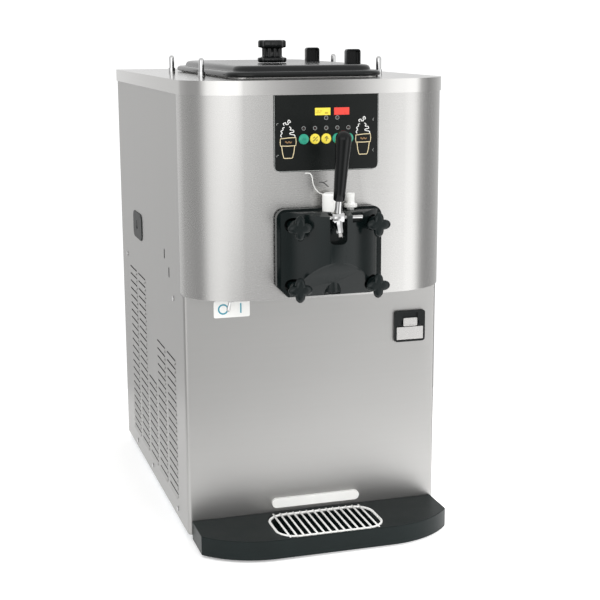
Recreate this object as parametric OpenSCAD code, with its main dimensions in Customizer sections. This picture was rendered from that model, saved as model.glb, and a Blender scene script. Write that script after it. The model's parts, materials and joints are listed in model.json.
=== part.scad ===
// Counter-top soft serve freezer with one freezing cylinder and a hopper in its top.
// X is to the right of someone facing the machine, Y goes into it and Z is up.
// The origin is on the counter, under the middle of the whole machine.

/* [Cabinet] */
// Width of the cabinet over its side panels
body_w = 464; // [380:1:570]
// Depth of the cabinet from its flat front panel to its back
body_d = 644; // [620:1:800]
// Height of the cabinet from its base to the top of its cap
body_h = 795.5; // [780:0.5:960]
// Height of the rubber feet
foot_h = 12; // [12:1:40]
// Thickness of the steel sheet
sheet = 1.2; // [0.8:0.1:1.6]
// Height at which the bowed front panel starts
split_h = 431.5; // [400:0.5:450]
// How far the bowed front panel stands out at its middle
bow_out = 76; // [66:1:90]
// Radius of the middle of the bow
bow_r = 1636; // [1400:1:2200]
// Radius of the two ends of the bow
bow_end_r = 109; // [104:1:112]
// Height of the rim band of the top cap
cap_t = 23.5; // [16:0.5:30]

/* [Freezer door] */
// Width of the door flange
door_w = 184; // [175:1:200]
// Height of the door flange
door_h = 148; // [140:1:170]
// Thickness of the door flange
door_t = 11; // [9:1:16]
// Diameter of the draw valve
valve_d = 33; // [31:0.5:34]
// Diameter of the pivot pin of the draw handle
pivot_d = 6; // [5:0.5:7]
// Diameter of the studs that hold the door
stud_d = 9.5; // [8:0.5:10]

/* [Draw handle] */
// Angle at which the draw handle leans forward
handle_lean = 12.6; // [8:0.1:16]
// Distance from the pivot to the end of the grip
handle_len = 146.5; // [120:0.5:180]
// Diameter of the grip at its round end
grip_d = 24; // [20:1:26]

/* [Freezing cylinder] */
// Bore of the freezing cylinder
barrel_bore = 100; // [90:1:104]
// Length of the freezing cylinder
barrel_len = 360; // [300:1:370]
// Wall of the freezing cylinder
barrel_wall = 6; // [4:0.5:8]

/* [Hopper and lid] */
// Width of the lid
lid_w = 280; // [264:1:290]
// Length of the lid
lid_l = 485; // [460:1:500]
// Distance from the flat front panel to the front of the lid
lid_front = 15; // [10:1:30]
// Height of the lid above the cap
lid_h = 25; // [20:1:30]
// Depth of the hopper
hopper_depth = 112; // [90:1:120]
// Diameter of the lid's knob
knob_d = 53; // [44:1:60]

/* [Drip tray] */
// Width of the drip tray
tray_w = 452; // [376:1:460]
// How far the drip tray stands out
tray_out = 131; // [120:1:150]
// Height of the drip tray
tray_h = 34; // [30:1:38]
// Diameter of the wire of the tray's grate
grate_wire = 5; // [4:0.5:6]

/* [Control panel] */
// Width of the control panel
control_w = 182; // [160:1:200]
// Height of the control panel
control_h = 126; // [115:1:140]
// Diameter of a key
key_d = 17; // [14:0.5:18]
// Distance between keys
key_pitch = 19.4; // [19:0.1:22]

/* [Louvres] */
// Length of one louvre
louvre_l = 76; // [60:1:84]
// Distance between louvres up the panel
louvre_pitch = 15.75; // [12:0.25:16]

/* [Clearances] */
// Gap between a moving piece and its neighbour
gap = 0.4; // [0.3:0.05:0.6]
// Radial clearance of a pin that runs in a bore
running = 0.06; // [0.02:0.01:0.1]

/* [Hidden] */
$fn = 64;

// Colours
steel = [0.78, 0.78, 0.77];
black = [0.07, 0.085, 0.085];
white = [0.93, 0.93, 0.92];

// Heights and places of the cabinet, measured from its base and its flat front panel
half_w = body_w / 2;
cap_low = body_h - cap_t;
cap_over = 2;
cap_sheet = 1.5;
wall_top = body_h - cap_sheet;
side_return = 27;
low_return = 9;
front_corner = 6;
inner_w = body_w - 2 * sheet;
frame_gap = 0.6;
pan_lip = 22;
pan_t = 2;
post_leg = 28;
post_t = 3;
shelf_top = split_h - 11.5;
shelf_t = 4;

// Bow of the upper front panel and the cap
bow_y = bow_r - bow_out;
bow_end_in = 101.4;
bow_end_x = half_w - bow_end_in;
bow_end_y = bow_y - sqrt(pow(bow_r - bow_end_r, 2) - pow(bow_end_x, 2));

// Freezer door
door_x = door_w / 2;
door_z = split_h + 6.5;
door_top = door_z + door_h;
axis_z = door_z + door_h / 2;
door_back = -bow_out - 4;
door_face = door_back - door_t;
spout_y = door_back - 24;
bulge_out = 60;
bulge_r = 100;
bulge_y = door_back - bulge_out + bulge_r;
top_slope = [27, 9];
chin = [[-23, 2], [-60, 63.4]];
pocket_d = 27;
pocket_floor = 5;
valve_low = axis_z - 9;
valve_top = door_top + 26;
outlet_d = 18;
nozzle_d = 28;
nozzle_low = door_z + 9;
nozzle_t = 6;
screw_x = door_x - 24.5;
screw_z = [door_top - 24.5, door_z + 21.5];
lever_slot = [30, 9];
slot_low = door_z + 93;
slot_back = door_back - 42.5;

// Draw handle
pivot_y = spout_y - 29;
pivot_z = door_top - 11;
hub_d = 19;
hub_w = 19;
finger_r = 37;
draw_turn = 24;
finger_t = 8;
neck_d = 11;
grip_low_d = 19;
grip_start = 30.5;
grip_stud_d = 8;
grip_stud = 70;
toe_lean = 25.9;
toe_len = 28;
toe_d = 11.5;
adjuster_d = 8.5;
adjuster_len = 34;

// Hand screws
boss_d = 18;
boss_l = 53;
disc_t = 10;
core_d = 26;
lobe_d = 15;
lobe_r = 13;

// Prime plug
plug_x = 35;
plug_y = spout_y + 8;
plug_d = 12;
plug_low = axis_z + 28;

// Freezing cylinder and its drive
barrel_front = door_back + 1;
barrel_back = barrel_front + barrel_len;
barrel_d = barrel_bore + 2 * barrel_wall;
ring_d = barrel_d + 20;
ring_t = 6;
plate_y = -bow_out + 5;
plate_t = 5;
shaft_d = 24;
end_wall = 8;
coat_d = 180;
gear_len = 80;
gear_w = 130;
motor_d = 120;
motor_l = 150;
beater_r = barrel_bore / 2 - 1;
beater_start = barrel_front + 8;
beater_len = barrel_len - end_wall - 14;
blade_t = 5;

// Hopper, lid and pins
lid_y = lid_front + lid_l / 2;
rim_in = 12;
rim_t = 1.5;
tank_in = 25;
tank_low = body_h - hopper_depth;
feed_y = lid_front + tank_in + 45;
feed_d = 26;
lid_flange = 12;
lid_wall = 4;
knob_h = 37;
knob_base_d = 55;
knob_waist_d = 35;
pin_x = 165;
pin_y = [127, 391];
pin_d = 9.5;
pin_h = 33;
lug_x = lid_w / 2 - 25;
lug_y = [128, 373];
lug_w = 27.5;
lug_t = 12;
lug_h = 21;

// Drip tray and its grate
tray_low = -8;
tray_top = tray_low + tray_h;
tray_flat = 210;
tray_end_r = 159;
tray_wall = 3;
tray_gap = 0.6;
grate_x = 96;
grate_y = [-123, -14];
grate_r = 35;
grate_bars = 14;
bar_pitch = 12.4;
bar_d = 3.5;
well_in = 8;
grate_z = tray_top - 1.5;

// Drip pan
pan_x = 2;
pan_bar_w = 164;
pan_bar_h = 17.5;
pan_z = 35;
pan_len = 170;
pan_out = 7;

// Control panel
control_z = cap_low - control_h;
control_t = 1.5;
key_x = -1.7;
key_z = cap_low - 72.6;
key_out = 3.4;
lamp_d = 4;
lamp_z = cap_low - 55;
fault_z = cap_low - 38.4;
window_z = cap_low - 28;
window_h = 12;

// Louvres: how many are in each column, counted from the back
louvre_rows = [23, 23, 11, 17, 17];
louvre_cols = 5;
louvre_col = 96.75;
louvre_back = 94;
louvre_z = 38;
louvre_gap = 3;
louvre_out = 2.6;

// Flush fitting, power toggle and switch board
latch_x = half_w - 51.5;
latch_w = 58;
latch_h = 57;
latch_z = split_h - 107.5;
flap_y = -3.6;
flap_pivot_z = latch_z + 26;
toggle_x = 77 - half_w;
toggle_y = -25;
toggle_tilt = 13;
bush_d = 12.2;
board_y = -bow_out + 22;

// Refrigeration and electrics
compressor_x = 126 - half_w;
compressor_y = body_d - 374;
fan_z = 150;
fan_d = 246;
fan_y = body_d - 118;
gland_x = half_w - 70;
gland_z = 60;
gland_out = 18;

// Middle of the whole machine, front to back
grip_front = handle_len - grip_d / 2;
front_reach = -pivot_y + grip_front * sin(handle_lean) + grip_d / 2;
mid_y = (body_d + gland_out - front_reach) / 2;

module place() {
    translate([0, -mid_y, foot_h]) children();
}

// Extrudes an X-Z outline along Y, starting at front
module front_prism(front, depth) {
    translate([0, front + depth, 0]) rotate([90, 0, 0]) linear_extrude(depth) children();
}

// Extrudes a Y-Z outline along X, about X = 0
module side_prism(width) {
    rotate([90, 0, 90]) linear_extrude(width, center = true) children();
}

module rod_y(x, z, front, len, d) {
    translate([x, front, z]) rotate([-90, 0, 0]) cylinder(h = len, d = d);
}

module rod_x(left, len, y, z, d) {
    translate([left, y, z]) rotate([0, 90, 0]) cylinder(h = len, d = d);
}

module block(x, y, z) {
    translate([x[0], y[0], z[0]]) cube([x[1] - x[0], y[1] - y[0], z[1] - z[0]]);
}

// Rectangle with round corners, given its low corner and its size
module round_rect(low, size, r) {
    translate(low + [r, 0]) square([size[0] - 2 * r, size[1]]);
    translate(low + [0, r]) square([size[0], size[1] - 2 * r]);
    for (x = [r, size[0] - r], y = [r, size[1] - r])
        translate(low + [x, y]) circle(r = r);
}

// Points of an arc of n steps, without its first point if skip is 1
function arc(c, r, from, to, n, skip = 0) =
    [for (i = [skip : n - skip]) c + r * [cos(from + (to - from) * i / n),
        sin(from + (to - from) * i / n)]];

// Plan of the bowed cabinet, grown outwards by grow: a wide arc between two end arcs
module bow_plan(grow) {
    spread = asin(bow_end_x / (bow_r - bow_end_r));
    meet = acos((half_w + grow - bow_end_x) / (bow_end_r + grow));
    end_steps = 16;
    mid_steps = 8;
    polygon(concat(
        arc([-bow_end_x, bow_end_y], bow_end_r + grow, 180 + meet, 270 - spread, end_steps),
        arc([0, bow_y], bow_r + grow, 270 - spread, 270 + spread, mid_steps, 1),
        arc([bow_end_x, bow_end_y], bow_end_r + grow, 270 + spread, 360 - meet, end_steps),
        [[half_w + grow, body_d + grow], [-half_w - grow, body_d + grow]]));
}

// ---- Cabinet ----

module base_pan() {
    lip = sheet + frame_gap;
    front = front_corner + frame_gap;
    color(steel) place() difference() {
        block([-half_w + lip, half_w - lip], [front, body_d - lip], [0, pan_lip]);
        block([-half_w + lip + pan_t, half_w - lip - pan_t],
            [front + pan_t, body_d - lip - pan_t], [pan_t, pan_lip + 1]);
    }
}

module rubber_feet() {
    foot_in = 50;
    color(black) place()
        for (x = [-half_w + foot_in, half_w - foot_in], y = [foot_in, body_d - foot_in])
            translate([x, y, -foot_h]) cylinder(h = foot_h, d = 40);
}

// Four corner posts, a shelf for the freezing cylinder and the guide of the drip pan
module inner_frame() {
    wall = sheet + frame_gap;
    post_x = half_w - wall - 2;
    post_front = side_return + 2;
    post_back = body_d - wall - 2;
    color(steel) place() {
        difference() {
            for (x = [-post_x, post_x - post_leg], y = [post_front, post_back - post_leg])
                block([x, x + post_leg], [y, y + post_leg], [2, wall_top]);
            block([-post_x + post_t, post_x - post_t],
                [post_front + post_t, post_back - post_t], [1, body_h]);
        }
        block([-post_x + post_t, post_x - post_t], [post_front, post_back],
            [shelf_top - shelf_t, shelf_top]);
        pan_guide();
    }
}

// Channel that the drip pan slides in, standing on the base pan
module pan_guide() {
    outer = pan_bar_w - 4;
    guide_t = 2;
    front = front_corner + frame_gap + pan_t + gap;
    x = [pan_x - outer / 2, pan_x + outer / 2];
    difference() {
        block(x, [front, pan_len + 20], [pan_t, pan_z + 16]);
        block(x + [guide_t, -guide_t], [0, pan_len + 30], [pan_z + 1, body_h]);
        block(x + [guide_t, -guide_t], [0, pan_len + 30], [0, pan_z + 1 - guide_t]);
    }
}

// One louvre: a hood that opens downwards, standing on the sheet's outer face at X = 0
module louvre_hood(len) {
    hood = 7;
    skin = 1;
    rotate([90, 0, 0]) linear_extrude(len)
        polygon([[0, 0], [louvre_out, -hood], [louvre_out - skin, -hood], [0, -2.5 * skin]]);
}

module louvre_slots() {
    for (col = [0 : louvre_cols - 1], row = [0 : louvre_rows[col] - 1])
        translate([body_d - louvre_back - louvre_l - col * louvre_col,
            louvre_z + row * louvre_pitch])
            square([louvre_l, louvre_gap]);
}

module louvre_hoods() {
    for (col = [0 : louvre_cols - 1], row = [0 : louvre_rows[col] - 1])
        translate([0, body_d - louvre_back - col * louvre_col,
            louvre_z + louvre_gap + 2.5 + row * louvre_pitch])
            louvre_hood(louvre_l);
}

// Outline of a side panel, seen as Y and Z, with its louvre slots
module side_outline() {
    difference() {
        union() {
            translate([low_return + gap, 0])
                square([body_d - sheet - gap - low_return - gap, split_h - gap]);
            translate([side_return + gap, 0])
                square([body_d - sheet - gap - side_return - gap, wall_top]);
        }
        louvre_slots();
    }
}

// The right-hand panel; the left-hand one is its mirror image
module side_panel() {
    translate([half_w - sheet / 2, 0, 0]) side_prism(sheet) side_outline();
    translate([half_w, 0, 0]) louvre_hoods();
}

module left_side_panel() {
    slot_w = 4;
    cover_y = 395;
    color(steel) place() difference() {
        mirror([1, 0, 0]) side_panel();
        block([-half_w - 1, -half_w + 2], [163, 163 + slot_w], [split_h + 39, split_h + 56]);
        block([-half_w - 1, -half_w + 2], [123, 123 + slot_w], [split_h + 11, split_h + 29]);
        block([-half_w - 1, -half_w + 2], [cover_y + 15, cover_y + 75],
            [split_h + 45, split_h + 77]);
    }
}

module right_side_panel() {
    color(steel) place() side_panel();
}

// Back panel with rows of slots behind the condenser and a hole for the cord gland
module rear_panel() {
    vent_w = 260;
    vent_rows = 18;
    color(steel) place() difference() {
        front_prism(body_d - sheet, sheet) difference() {
            translate([-half_w, 0]) square([body_w, wall_top]);
            for (row = [0 : vent_rows - 1])
                translate([-vent_w / 2, louvre_z + row * louvre_pitch])
                    square([vent_w, louvre_gap + 1]);
        }
        rod_y(gland_x, gland_z, body_d - 5, 10, 20);
    }
}

module lower_front_panel() {
    bar_play = 1.5;
    color(steel) place() difference() {
        linear_extrude(split_h - gap) difference() {
            round_rect([-half_w, 0], [body_w, 40], front_corner);
            round_rect([-half_w + sheet, sheet], [inner_w, 45], front_corner - sheet);
            translate([-half_w - 1, low_return]) square([body_w + 2, 60]);
        }
        front_prism(-5, 12) round_rect([pan_x - pan_bar_w / 2 + 6 - bar_play, pan_z + 1],
            [pan_bar_w - 12 + 2 * bar_play, pan_bar_h - 2], 2);
        block([latch_x - latch_w / 2 + 6, latch_x + latch_w / 2 - 6], [-5, 8],
            [latch_z + 6, latch_z + latch_h - 6]);
    }
}

module upper_front_panel() {
    color(steel) place() difference() {
        translate([0, 0, split_h]) linear_extrude(wall_top - split_h) intersection() {
            bow_plan(0);
            translate([-body_w, -body_w]) square([2 * body_w, body_w + side_return]);
        }
        translate([0, 0, split_h + sheet]) linear_extrude(body_h) bow_plan(-sheet);
        rod_y(0, axis_z, -bow_out - 10, 40, ring_d + 2);
        for (x = [-screw_x, screw_x], z = screw_z)
            rod_y(x, z, -bow_out - 10, 40, stud_d + 1);
        for (i = [0 : 4])
            rod_y(key_x + (i - 2) * key_pitch, key_z, -bow_out - 10, 40, key_d + 2 * gap);
        translate([toggle_x, toggle_y, split_h - 5]) cylinder(h = 15, d = bush_d);
    }
}

// Cap with a rim band all round and an opening for the hopper
module top_cap() {
    color(steel) place() difference() {
        translate([0, 0, cap_low]) linear_extrude(cap_t) bow_plan(cap_over);
        translate([0, 0, cap_low - 1]) linear_extrude(cap_t - cap_sheet + 1)
            bow_plan(cap_over - cap_sheet);
        translate([0, 0, cap_low]) linear_extrude(2 * cap_t)
            round_rect([-lid_w / 2 + tank_in, lid_front + tank_in],
                [lid_w - 2 * tank_in, lid_l - 2 * tank_in], 15);
    }
}

module locating_pins() {
    collar_h = 9;
    color(steel) place()
        for (x = [-pin_x, pin_x], y = pin_y) translate([x, y, body_h]) {
            cylinder(h = collar_h, d = pin_d + 3);
            translate([0, 0, collar_h]) cylinder(h = pin_h - collar_h - pin_d / 2, d = pin_d);
            translate([0, 0, pin_h - pin_d / 2]) sphere(d = pin_d);
        }
}

// Screws that hold the side, front and back panels to the frame
module panel_screws() {
    head_d = 9;
    head_t = 2.2;
    side_spots = [[body_d - 65, split_h - 19.5], [88, split_h - 20], [519, 15.4],
        [340, 17.8], [92, 16.6]];
    back_spots = [[-half_w + 20, 40], [half_w - 20, 40], [-half_w + 20, split_h],
        [half_w - 20, split_h], [-half_w + 20, body_h - 60], [half_w - 20, body_h - 60]];
    color(steel) place() {
        for (spot = side_spots, s = [-1, 1])
            rod_x(s * (half_w + head_t / 2) - head_t / 2, head_t, spot[0], spot[1], head_d);
        for (spot = back_spots)
            rod_y(spot[0], spot[1], body_d, head_t, head_d);
    }
}

module side_cover_plate() {
    plate_t = 2;
    color(black) place() translate([-half_w - plate_t, 0, 0]) rotate([90, 0, 90])
        linear_extrude(plate_t) difference() {
            round_rect([391, split_h + 34], [94, 53], 14);
            translate([443, split_h + 56]) circle(d = 8);
            translate([441, split_h + 56]) square([4, 14]);
        }
}

// ---- Controls ----

// A sheet that follows the bow, from 0 to thick in front of the panel, inside an outline
module on_bow(thick) {
    intersection() {
        linear_extrude(body_h) difference() {
            bow_plan(thick);
            bow_plan(0);
        }
        front_prism(-bow_out - 15, 40) children();
    }
}

module control_panel() {
    corner = 12;
    color(black) place() difference() {
        on_bow(control_t) difference() {
            union() {
                round_rect([-control_w / 2, control_z], [control_w, control_h - 20], corner);
                translate([-control_w / 2, control_z + 40])
                    square([control_w, control_h - 40 - gap]);
            }
            window_outline(-21, 0.1);
            window_outline(12, 0.1);
        }
        for (i = [0 : 4]) {
            x = key_x + (i - 2) * key_pitch;
            rod_y(x, key_z, -bow_out - 10, 40, key_d + 2 * gap);
            rod_y(x, lamp_z, -bow_out - 10, 40, lamp_d + 0.2);
        }
        for (i = [2, 3])
            rod_y(key_x + (i - 2) * key_pitch, fault_z, -bow_out - 10, 40, lamp_d + 0.2);
    }
}

module window_outline(left, grow) {
    window_w = 26.5;
    translate([left - grow, window_z - window_h / 2 - grow])
        square([window_w + 2 * grow, window_h + 2 * grow]);
}

module yellow_window() {
    color([0.95, 0.93, 0.25]) place() on_bow(control_t + 0.4) window_outline(-21, 0);
}

module red_window() {
    color([0.93, 0.3, 0.22]) place() on_bow(control_t + 0.4) window_outline(12, 0);
}

module indicator_lenses() {
    lens_l = 2;
    color([0.55, 0.5, 0.5]) place() {
        for (i = [0 : 4])
            rod_y(key_x + (i - 2) * key_pitch, lamp_z, -bow_out - 2.2, lens_l, lamp_d);
        for (i = [2, 3])
            rod_y(key_x + (i - 2) * key_pitch, fault_z, -bow_out - 2.2, lens_l, lamp_d);
    }
}

// One key: a round cap in front of the panel on a plunger that reaches the switch board
module key(i) {
    plunger_d = 8;
    color(i == 1 || i == 2 ? [0.95, 0.93, 0.3] : [0.08, 0.55, 0.42]) place() {
        x = key_x + (i - 2) * key_pitch;
        rod_y(x, key_z, -bow_out - key_out, key_out + 3, key_d);
        rod_y(x, key_z, -bow_out + 3, board_y + bow_out - 3 - 1.6, plunger_d);
    }
}

module key_1() { key(0); }
module key_2() { key(1); }
module key_3() { key(2); }
module key_4() { key(3); }
module key_5() { key(4); }

// Circuit board behind the keys, on four spacers that reach the bowed panel
module switch_board() {
    color([0.1, 0.35, 0.2]) place() {
        block([-80, 80], [board_y, board_y + 2], [control_z + 8, cap_low - 8]);
        intersection() {
            for (x = [-72, 72], z = [control_z + 16, cap_low - 16])
                rod_y(x, z, -bow_out, bow_out + board_y, 8);
            linear_extrude(body_h) bow_plan(-sheet);
        }
    }
}

module off_on_label() {
    label_t = 0.8;
    color(white) place() front_prism(-label_t, label_t)
        round_rect([-180, split_h - 41.5], [64, 30], 3);
}

module toggle_bush() {
    collar_d = 18;
    color(steel) place() difference() {
        translate([toggle_x, toggle_y, 0]) union() {
            translate([0, 0, split_h - 8]) cylinder(h = 8, d = collar_d, $fn = 6);
            translate([0, 0, split_h]) cylinder(h = 10, d = bush_d - 0.2);
        }
        translate([toggle_x, toggle_y, split_h - 20]) cylinder(h = 24, d = 11);
    }
}

// Bat-shaped lever that hangs from its bush and stands tilted towards its off side
module toggle_lever() {
    ball_d = 7;
    lever_l = 22;
    lever_d = [4, 6.4];
    trunnion_l = 9;
    trunnion_d = 2.5;
    pivot = [toggle_x, toggle_y, split_h - 1];
    color(steel) place() {
        rod_y(pivot[0], pivot[2], pivot[1] - trunnion_l / 2, trunnion_l, trunnion_d);
        translate(pivot) rotate([0, toggle_tilt, 0]) rotate([180, 0, 0]) {
            sphere(d = ball_d);
            cylinder(h = lever_l, d1 = lever_d[0], d2 = lever_d[1]);
            translate([0, 0, lever_l]) sphere(d = lever_d[1]);
        }
    }
}

// Frame of the flush fitting on the lower front panel
module latch_housing() {
    rim = 6;
    left = latch_x - latch_w / 2;
    color(black) place() difference() {
        union() {
            front_prism(-6, 6) round_rect([left, latch_z], [latch_w, latch_h], 5);
            block([left + 6.3, left + latch_w - 6.3], [0, 20],
                [latch_z + 6.3, latch_z + latch_h - 6.3]);
        }
        block([left + rim - 3, left + latch_w - rim + 3], [-7, -1],
            [latch_z + rim - 3, latch_z + 29]);
        block([left + rim + 3, left + latch_w - rim - 3], [-2, 17],
            [latch_z + rim + 3, latch_z + 29]);
        block([left + 15, left + latch_w - 15], [-7, -3.5], [latch_z + 43, latch_z + 53]);
        block([left + 12, left + latch_w - 12], [-7, -3.5], [latch_z + 32, latch_z + 40]);
    }
}

module latch_flap() {
    flap_z = latch_z + 4;
    left = latch_x - latch_w / 2 + 3.6;
    width = latch_w - 7.2;
    color(steel) place() difference() {
        union() {
            block([left, left + width], [-5.6, -2], [flap_z, flap_pivot_z + 1.4]);
            rod_x(left, width, flap_y, flap_pivot_z, 3.2);
        }
        block([left + 8, left + width - 8], [-3.2, 0], [flap_z - 1, flap_z + 12]);
    }
}

// ---- Hopper and lid ----

module hopper() {
    in_w = lid_w - 2 * tank_in - 2;
    in_l = lid_l - 2 * tank_in - 2;
    low = [-in_w / 2, lid_front + tank_in + 1];
    skin = 1.5;
    color(steel) place() difference() {
        union() {
            translate([0, 0, body_h]) linear_extrude(rim_t)
                round_rect([-lid_w / 2 + rim_in, lid_front + rim_in],
                    [lid_w - 2 * rim_in, lid_l - 2 * rim_in], 18);
            translate([0, 0, tank_low]) linear_extrude(hopper_depth)
                round_rect(low, [in_w, in_l], 14);
            translate([0, feed_y, axis_z]) cylinder(h = tank_low - axis_z, d = feed_d);
        }
        rod_y(0, axis_z, barrel_front, barrel_len, barrel_d);
        translate([0, 0, tank_low + skin]) linear_extrude(hopper_depth + 10)
            round_rect(low + [skin, skin], [in_w - 2 * skin, in_l - 2 * skin], 12.5);
        translate([0, feed_y, 0]) cylinder(h = body_h, d = feed_d - 2 * skin);
    }
}

// Shell of the lid: a sloped crown on a flat flange, with a lip that drops into the hopper
module hopper_lid() {
    seat = body_h + rim_t;
    color(black) place() difference() {
        union() {
            translate([0, 0, seat]) linear_extrude(lid_flange - rim_t)
                round_rect([-lid_w / 2, lid_front], [lid_w, lid_l], 22);
            lid_crown(0, body_h + lid_h);
            translate([0, 0, seat - 8]) linear_extrude(8)
                round_rect([-lid_w / 2 + tank_in + 4, lid_front + tank_in + 4],
                    [lid_w - 2 * tank_in - 8, lid_l - 2 * tank_in - 8], 10);
            for (y = lug_y) lid_lug(y);
        }
        lid_crown(lid_wall, body_h + lid_h - lid_wall);
        translate([0, 0, seat - 9]) linear_extrude(18)
            round_rect([-lid_w / 2 + tank_in + 8, lid_front + tank_in + 8],
                [lid_w - 2 * tank_in - 16, lid_l - 2 * tank_in - 16], 6);
        translate([0, lid_y, body_h]) cylinder(h = lid_h + 5, d = 8);
    }
}

// Crown of the lid, moved in by inset on every side, with its top at top
module lid_crown(inset, top) {
    crown_x = lid_w / 2 - 22 - inset;
    crown_y = [lid_front + 26 + inset, lid_front + lid_l - 20 - inset];
    spread = 10;
    low = body_h + 8;
    intersection() {
        front_prism(lid_front, lid_l) polygon([[-crown_x - spread, low], [crown_x + spread, low],
            [crown_x, top], [-crown_x, top]]);
        side_prism(lid_w) polygon([[crown_y[0] - spread, low], [crown_y[1] + spread, low],
            [crown_y[1], top], [crown_y[0], top]]);
        translate([0, 0, low]) linear_extrude(top - low)
            round_rect([-crown_x - spread, crown_y[0] - spread],
                [2 * (crown_x + spread), crown_y[1] - crown_y[0] + 2 * spread], 16);
    }
}

module lid_lug(y) {
    wall = 3;
    low = body_h + lid_h - 1;
    foot = body_h + lid_flange - 2;
    inner = lug_x - 1;
    difference() {
        front_prism(y - lug_t / 2, lug_t) round_rect([lug_x - lug_w / 2, foot],
            [lug_w, low + lug_h + 1 - foot], 5);
        block([lug_x - lug_w / 2 + wall, lug_x + lug_w / 2 - wall],
            [y - lug_t / 2 - 1, y + lug_t / 2 - wall], [low + 4, low + lug_h - wall]);
        block([-lid_w, inner], [0, body_d], [foot - 1, low]);
    }
}

module lid_knob() {
    scallops = 10;
    scallop_d = 14;
    low = body_h + lid_h;
    color(black) place() translate([0, lid_y, low]) {
        difference() {
            rotate_extrude() {
                square([knob_base_d / 2, 5]);
                square([knob_waist_d / 2, knob_h]);
                translate([0, knob_h - 14]) square([knob_d / 2, 11]);
                translate([0, knob_h - 4]) square([knob_d / 2 - 5, 4]);
            }
            for (i = [0 : scallops - 1]) rotate(i * 360 / scallops)
                translate([knob_d / 2 + scallop_d / 2 - 2.5, 0, knob_h - 15])
                    cylinder(h = 16, d = scallop_d);
        }
        translate([0, 0, -lid_wall]) cylinder(h = lid_wall, d = 7.8);
    }
}

// Tube that stands in the hopper's outlet and meters mix and air
module mix_feed_tube() {
    tube_d = feed_d - 3 - 2 * gap;
    color(white) place() translate([0, feed_y, 0]) difference() {
        union() {
            translate([0, 0, tank_low - 20]) cylinder(h = 70, d = tube_d);
            translate([0, 0, tank_low + 1.5 + gap]) cylinder(h = 5, d = feed_d + 8);
        }
        translate([0, 0, tank_low - 21]) cylinder(h = 72, d = tube_d - 6);
    }
}

// ---- Freezing cylinder and door ----

module freezing_cylinder() {
    color(steel) place() difference() {
        union() {
            rod_y(0, axis_z, barrel_front, barrel_len, barrel_d);
            rod_y(0, axis_z, barrel_front, ring_t, ring_d);
            front_prism(plate_y, plate_t)
                round_rect([-door_x, door_z], [door_w, door_h], 12);
        }
        rod_y(0, axis_z, barrel_front - 1, barrel_len - end_wall + 1, barrel_bore);
        rod_y(0, axis_z, barrel_front, barrel_len + 5, shaft_d + 2 * gap);
        for (x = [-screw_x, screw_x], z = screw_z)
            rod_y(x, z, plate_y - 1, plate_t + 2, stud_d);
        translate([0, feed_y, axis_z]) cylinder(h = barrel_d, d = feed_d - 3);
    }
}

module cylinder_insulation() {
    color([0.9, 0.85, 0.6]) place() difference() {
        block([-coat_d / 2, coat_d / 2], [plate_y + plate_t, barrel_back - 12],
            [shelf_top, axis_z + coat_d / 2]);
        rod_y(0, axis_z, plate_y, barrel_len + 20, barrel_d);
        translate([0, feed_y, axis_z]) cylinder(h = coat_d, d = feed_d);
        block([-half_w, half_w], [-bow_out, low_return + gap + 20], [0, split_h + sheet]);
    }
}

module door_studs() {
    color(steel) place()
        for (x = [-screw_x, screw_x], z = screw_z)
            rod_y(x, z, door_face - 18, plate_y + plate_t - door_face + 18, stud_d);
}

module door_gasket() {
    color([0.15, 0.15, 0.15]) place() difference() {
        rod_y(0, axis_z, door_back, barrel_front - door_back, ring_d - 4);
        rod_y(0, axis_z, door_back - 1, barrel_front - door_back + 2, barrel_bore + 4);
    }
}

// Outline of the door, with cut lower corners and round upper ones, moved in by inset
module door_outline(inset) {
    cut = 20 - inset / 2;
    low = [-door_x + inset, door_z + inset];
    difference() {
        round_rect(low, [door_w - 2 * inset, door_h - 2 * inset], 16 - inset);
        for (s = [0, 1]) mirror([s, 0])
            polygon([[-low[0] - cut, low[1] - 1], [-low[0] + 1, low[1] + cut],
                [-low[0] + 1, low[1] - 1]]);
    }
}

// Flange and wide bulge of the door, with a sloped top and a slanted chin
module door_body() {
    front_prism(door_face, door_t) door_outline(0);
    difference() {
        intersection() {
            translate([0, bulge_y, door_z])
                cylinder(h = door_h - 0.5, r = bulge_r, $fn = 128);
            front_prism(door_back - bulge_out - 1, bulge_out) door_outline(3);
        }
        block([-door_w, door_w], [door_face + 4, door_back + 1], [door_z - 1, door_top]);
        side_prism(2 * door_w) polygon([
            [door_back + chin[0][0], door_z - 1], [door_back + chin[0][0], door_z + chin[0][1]],
            [door_back + chin[1][0], door_z + chin[1][1]],
            [door_back - 2 * bulge_out, door_z + chin[1][1]],
            [door_back - 2 * bulge_out, door_z - 1]]);
        side_prism(2 * door_w) polygon([
            [door_back - top_slope[0], door_top], [door_back - bulge_out, door_top - top_slope[1]],
            [door_back - 2 * bulge_out, door_top - top_slope[1]],
            [door_back - 2 * bulge_out, door_top]]);
    }
    translate([0, spout_y, nozzle_low + nozzle_t]) cylinder(h = 30, d = nozzle_d);
}

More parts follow.
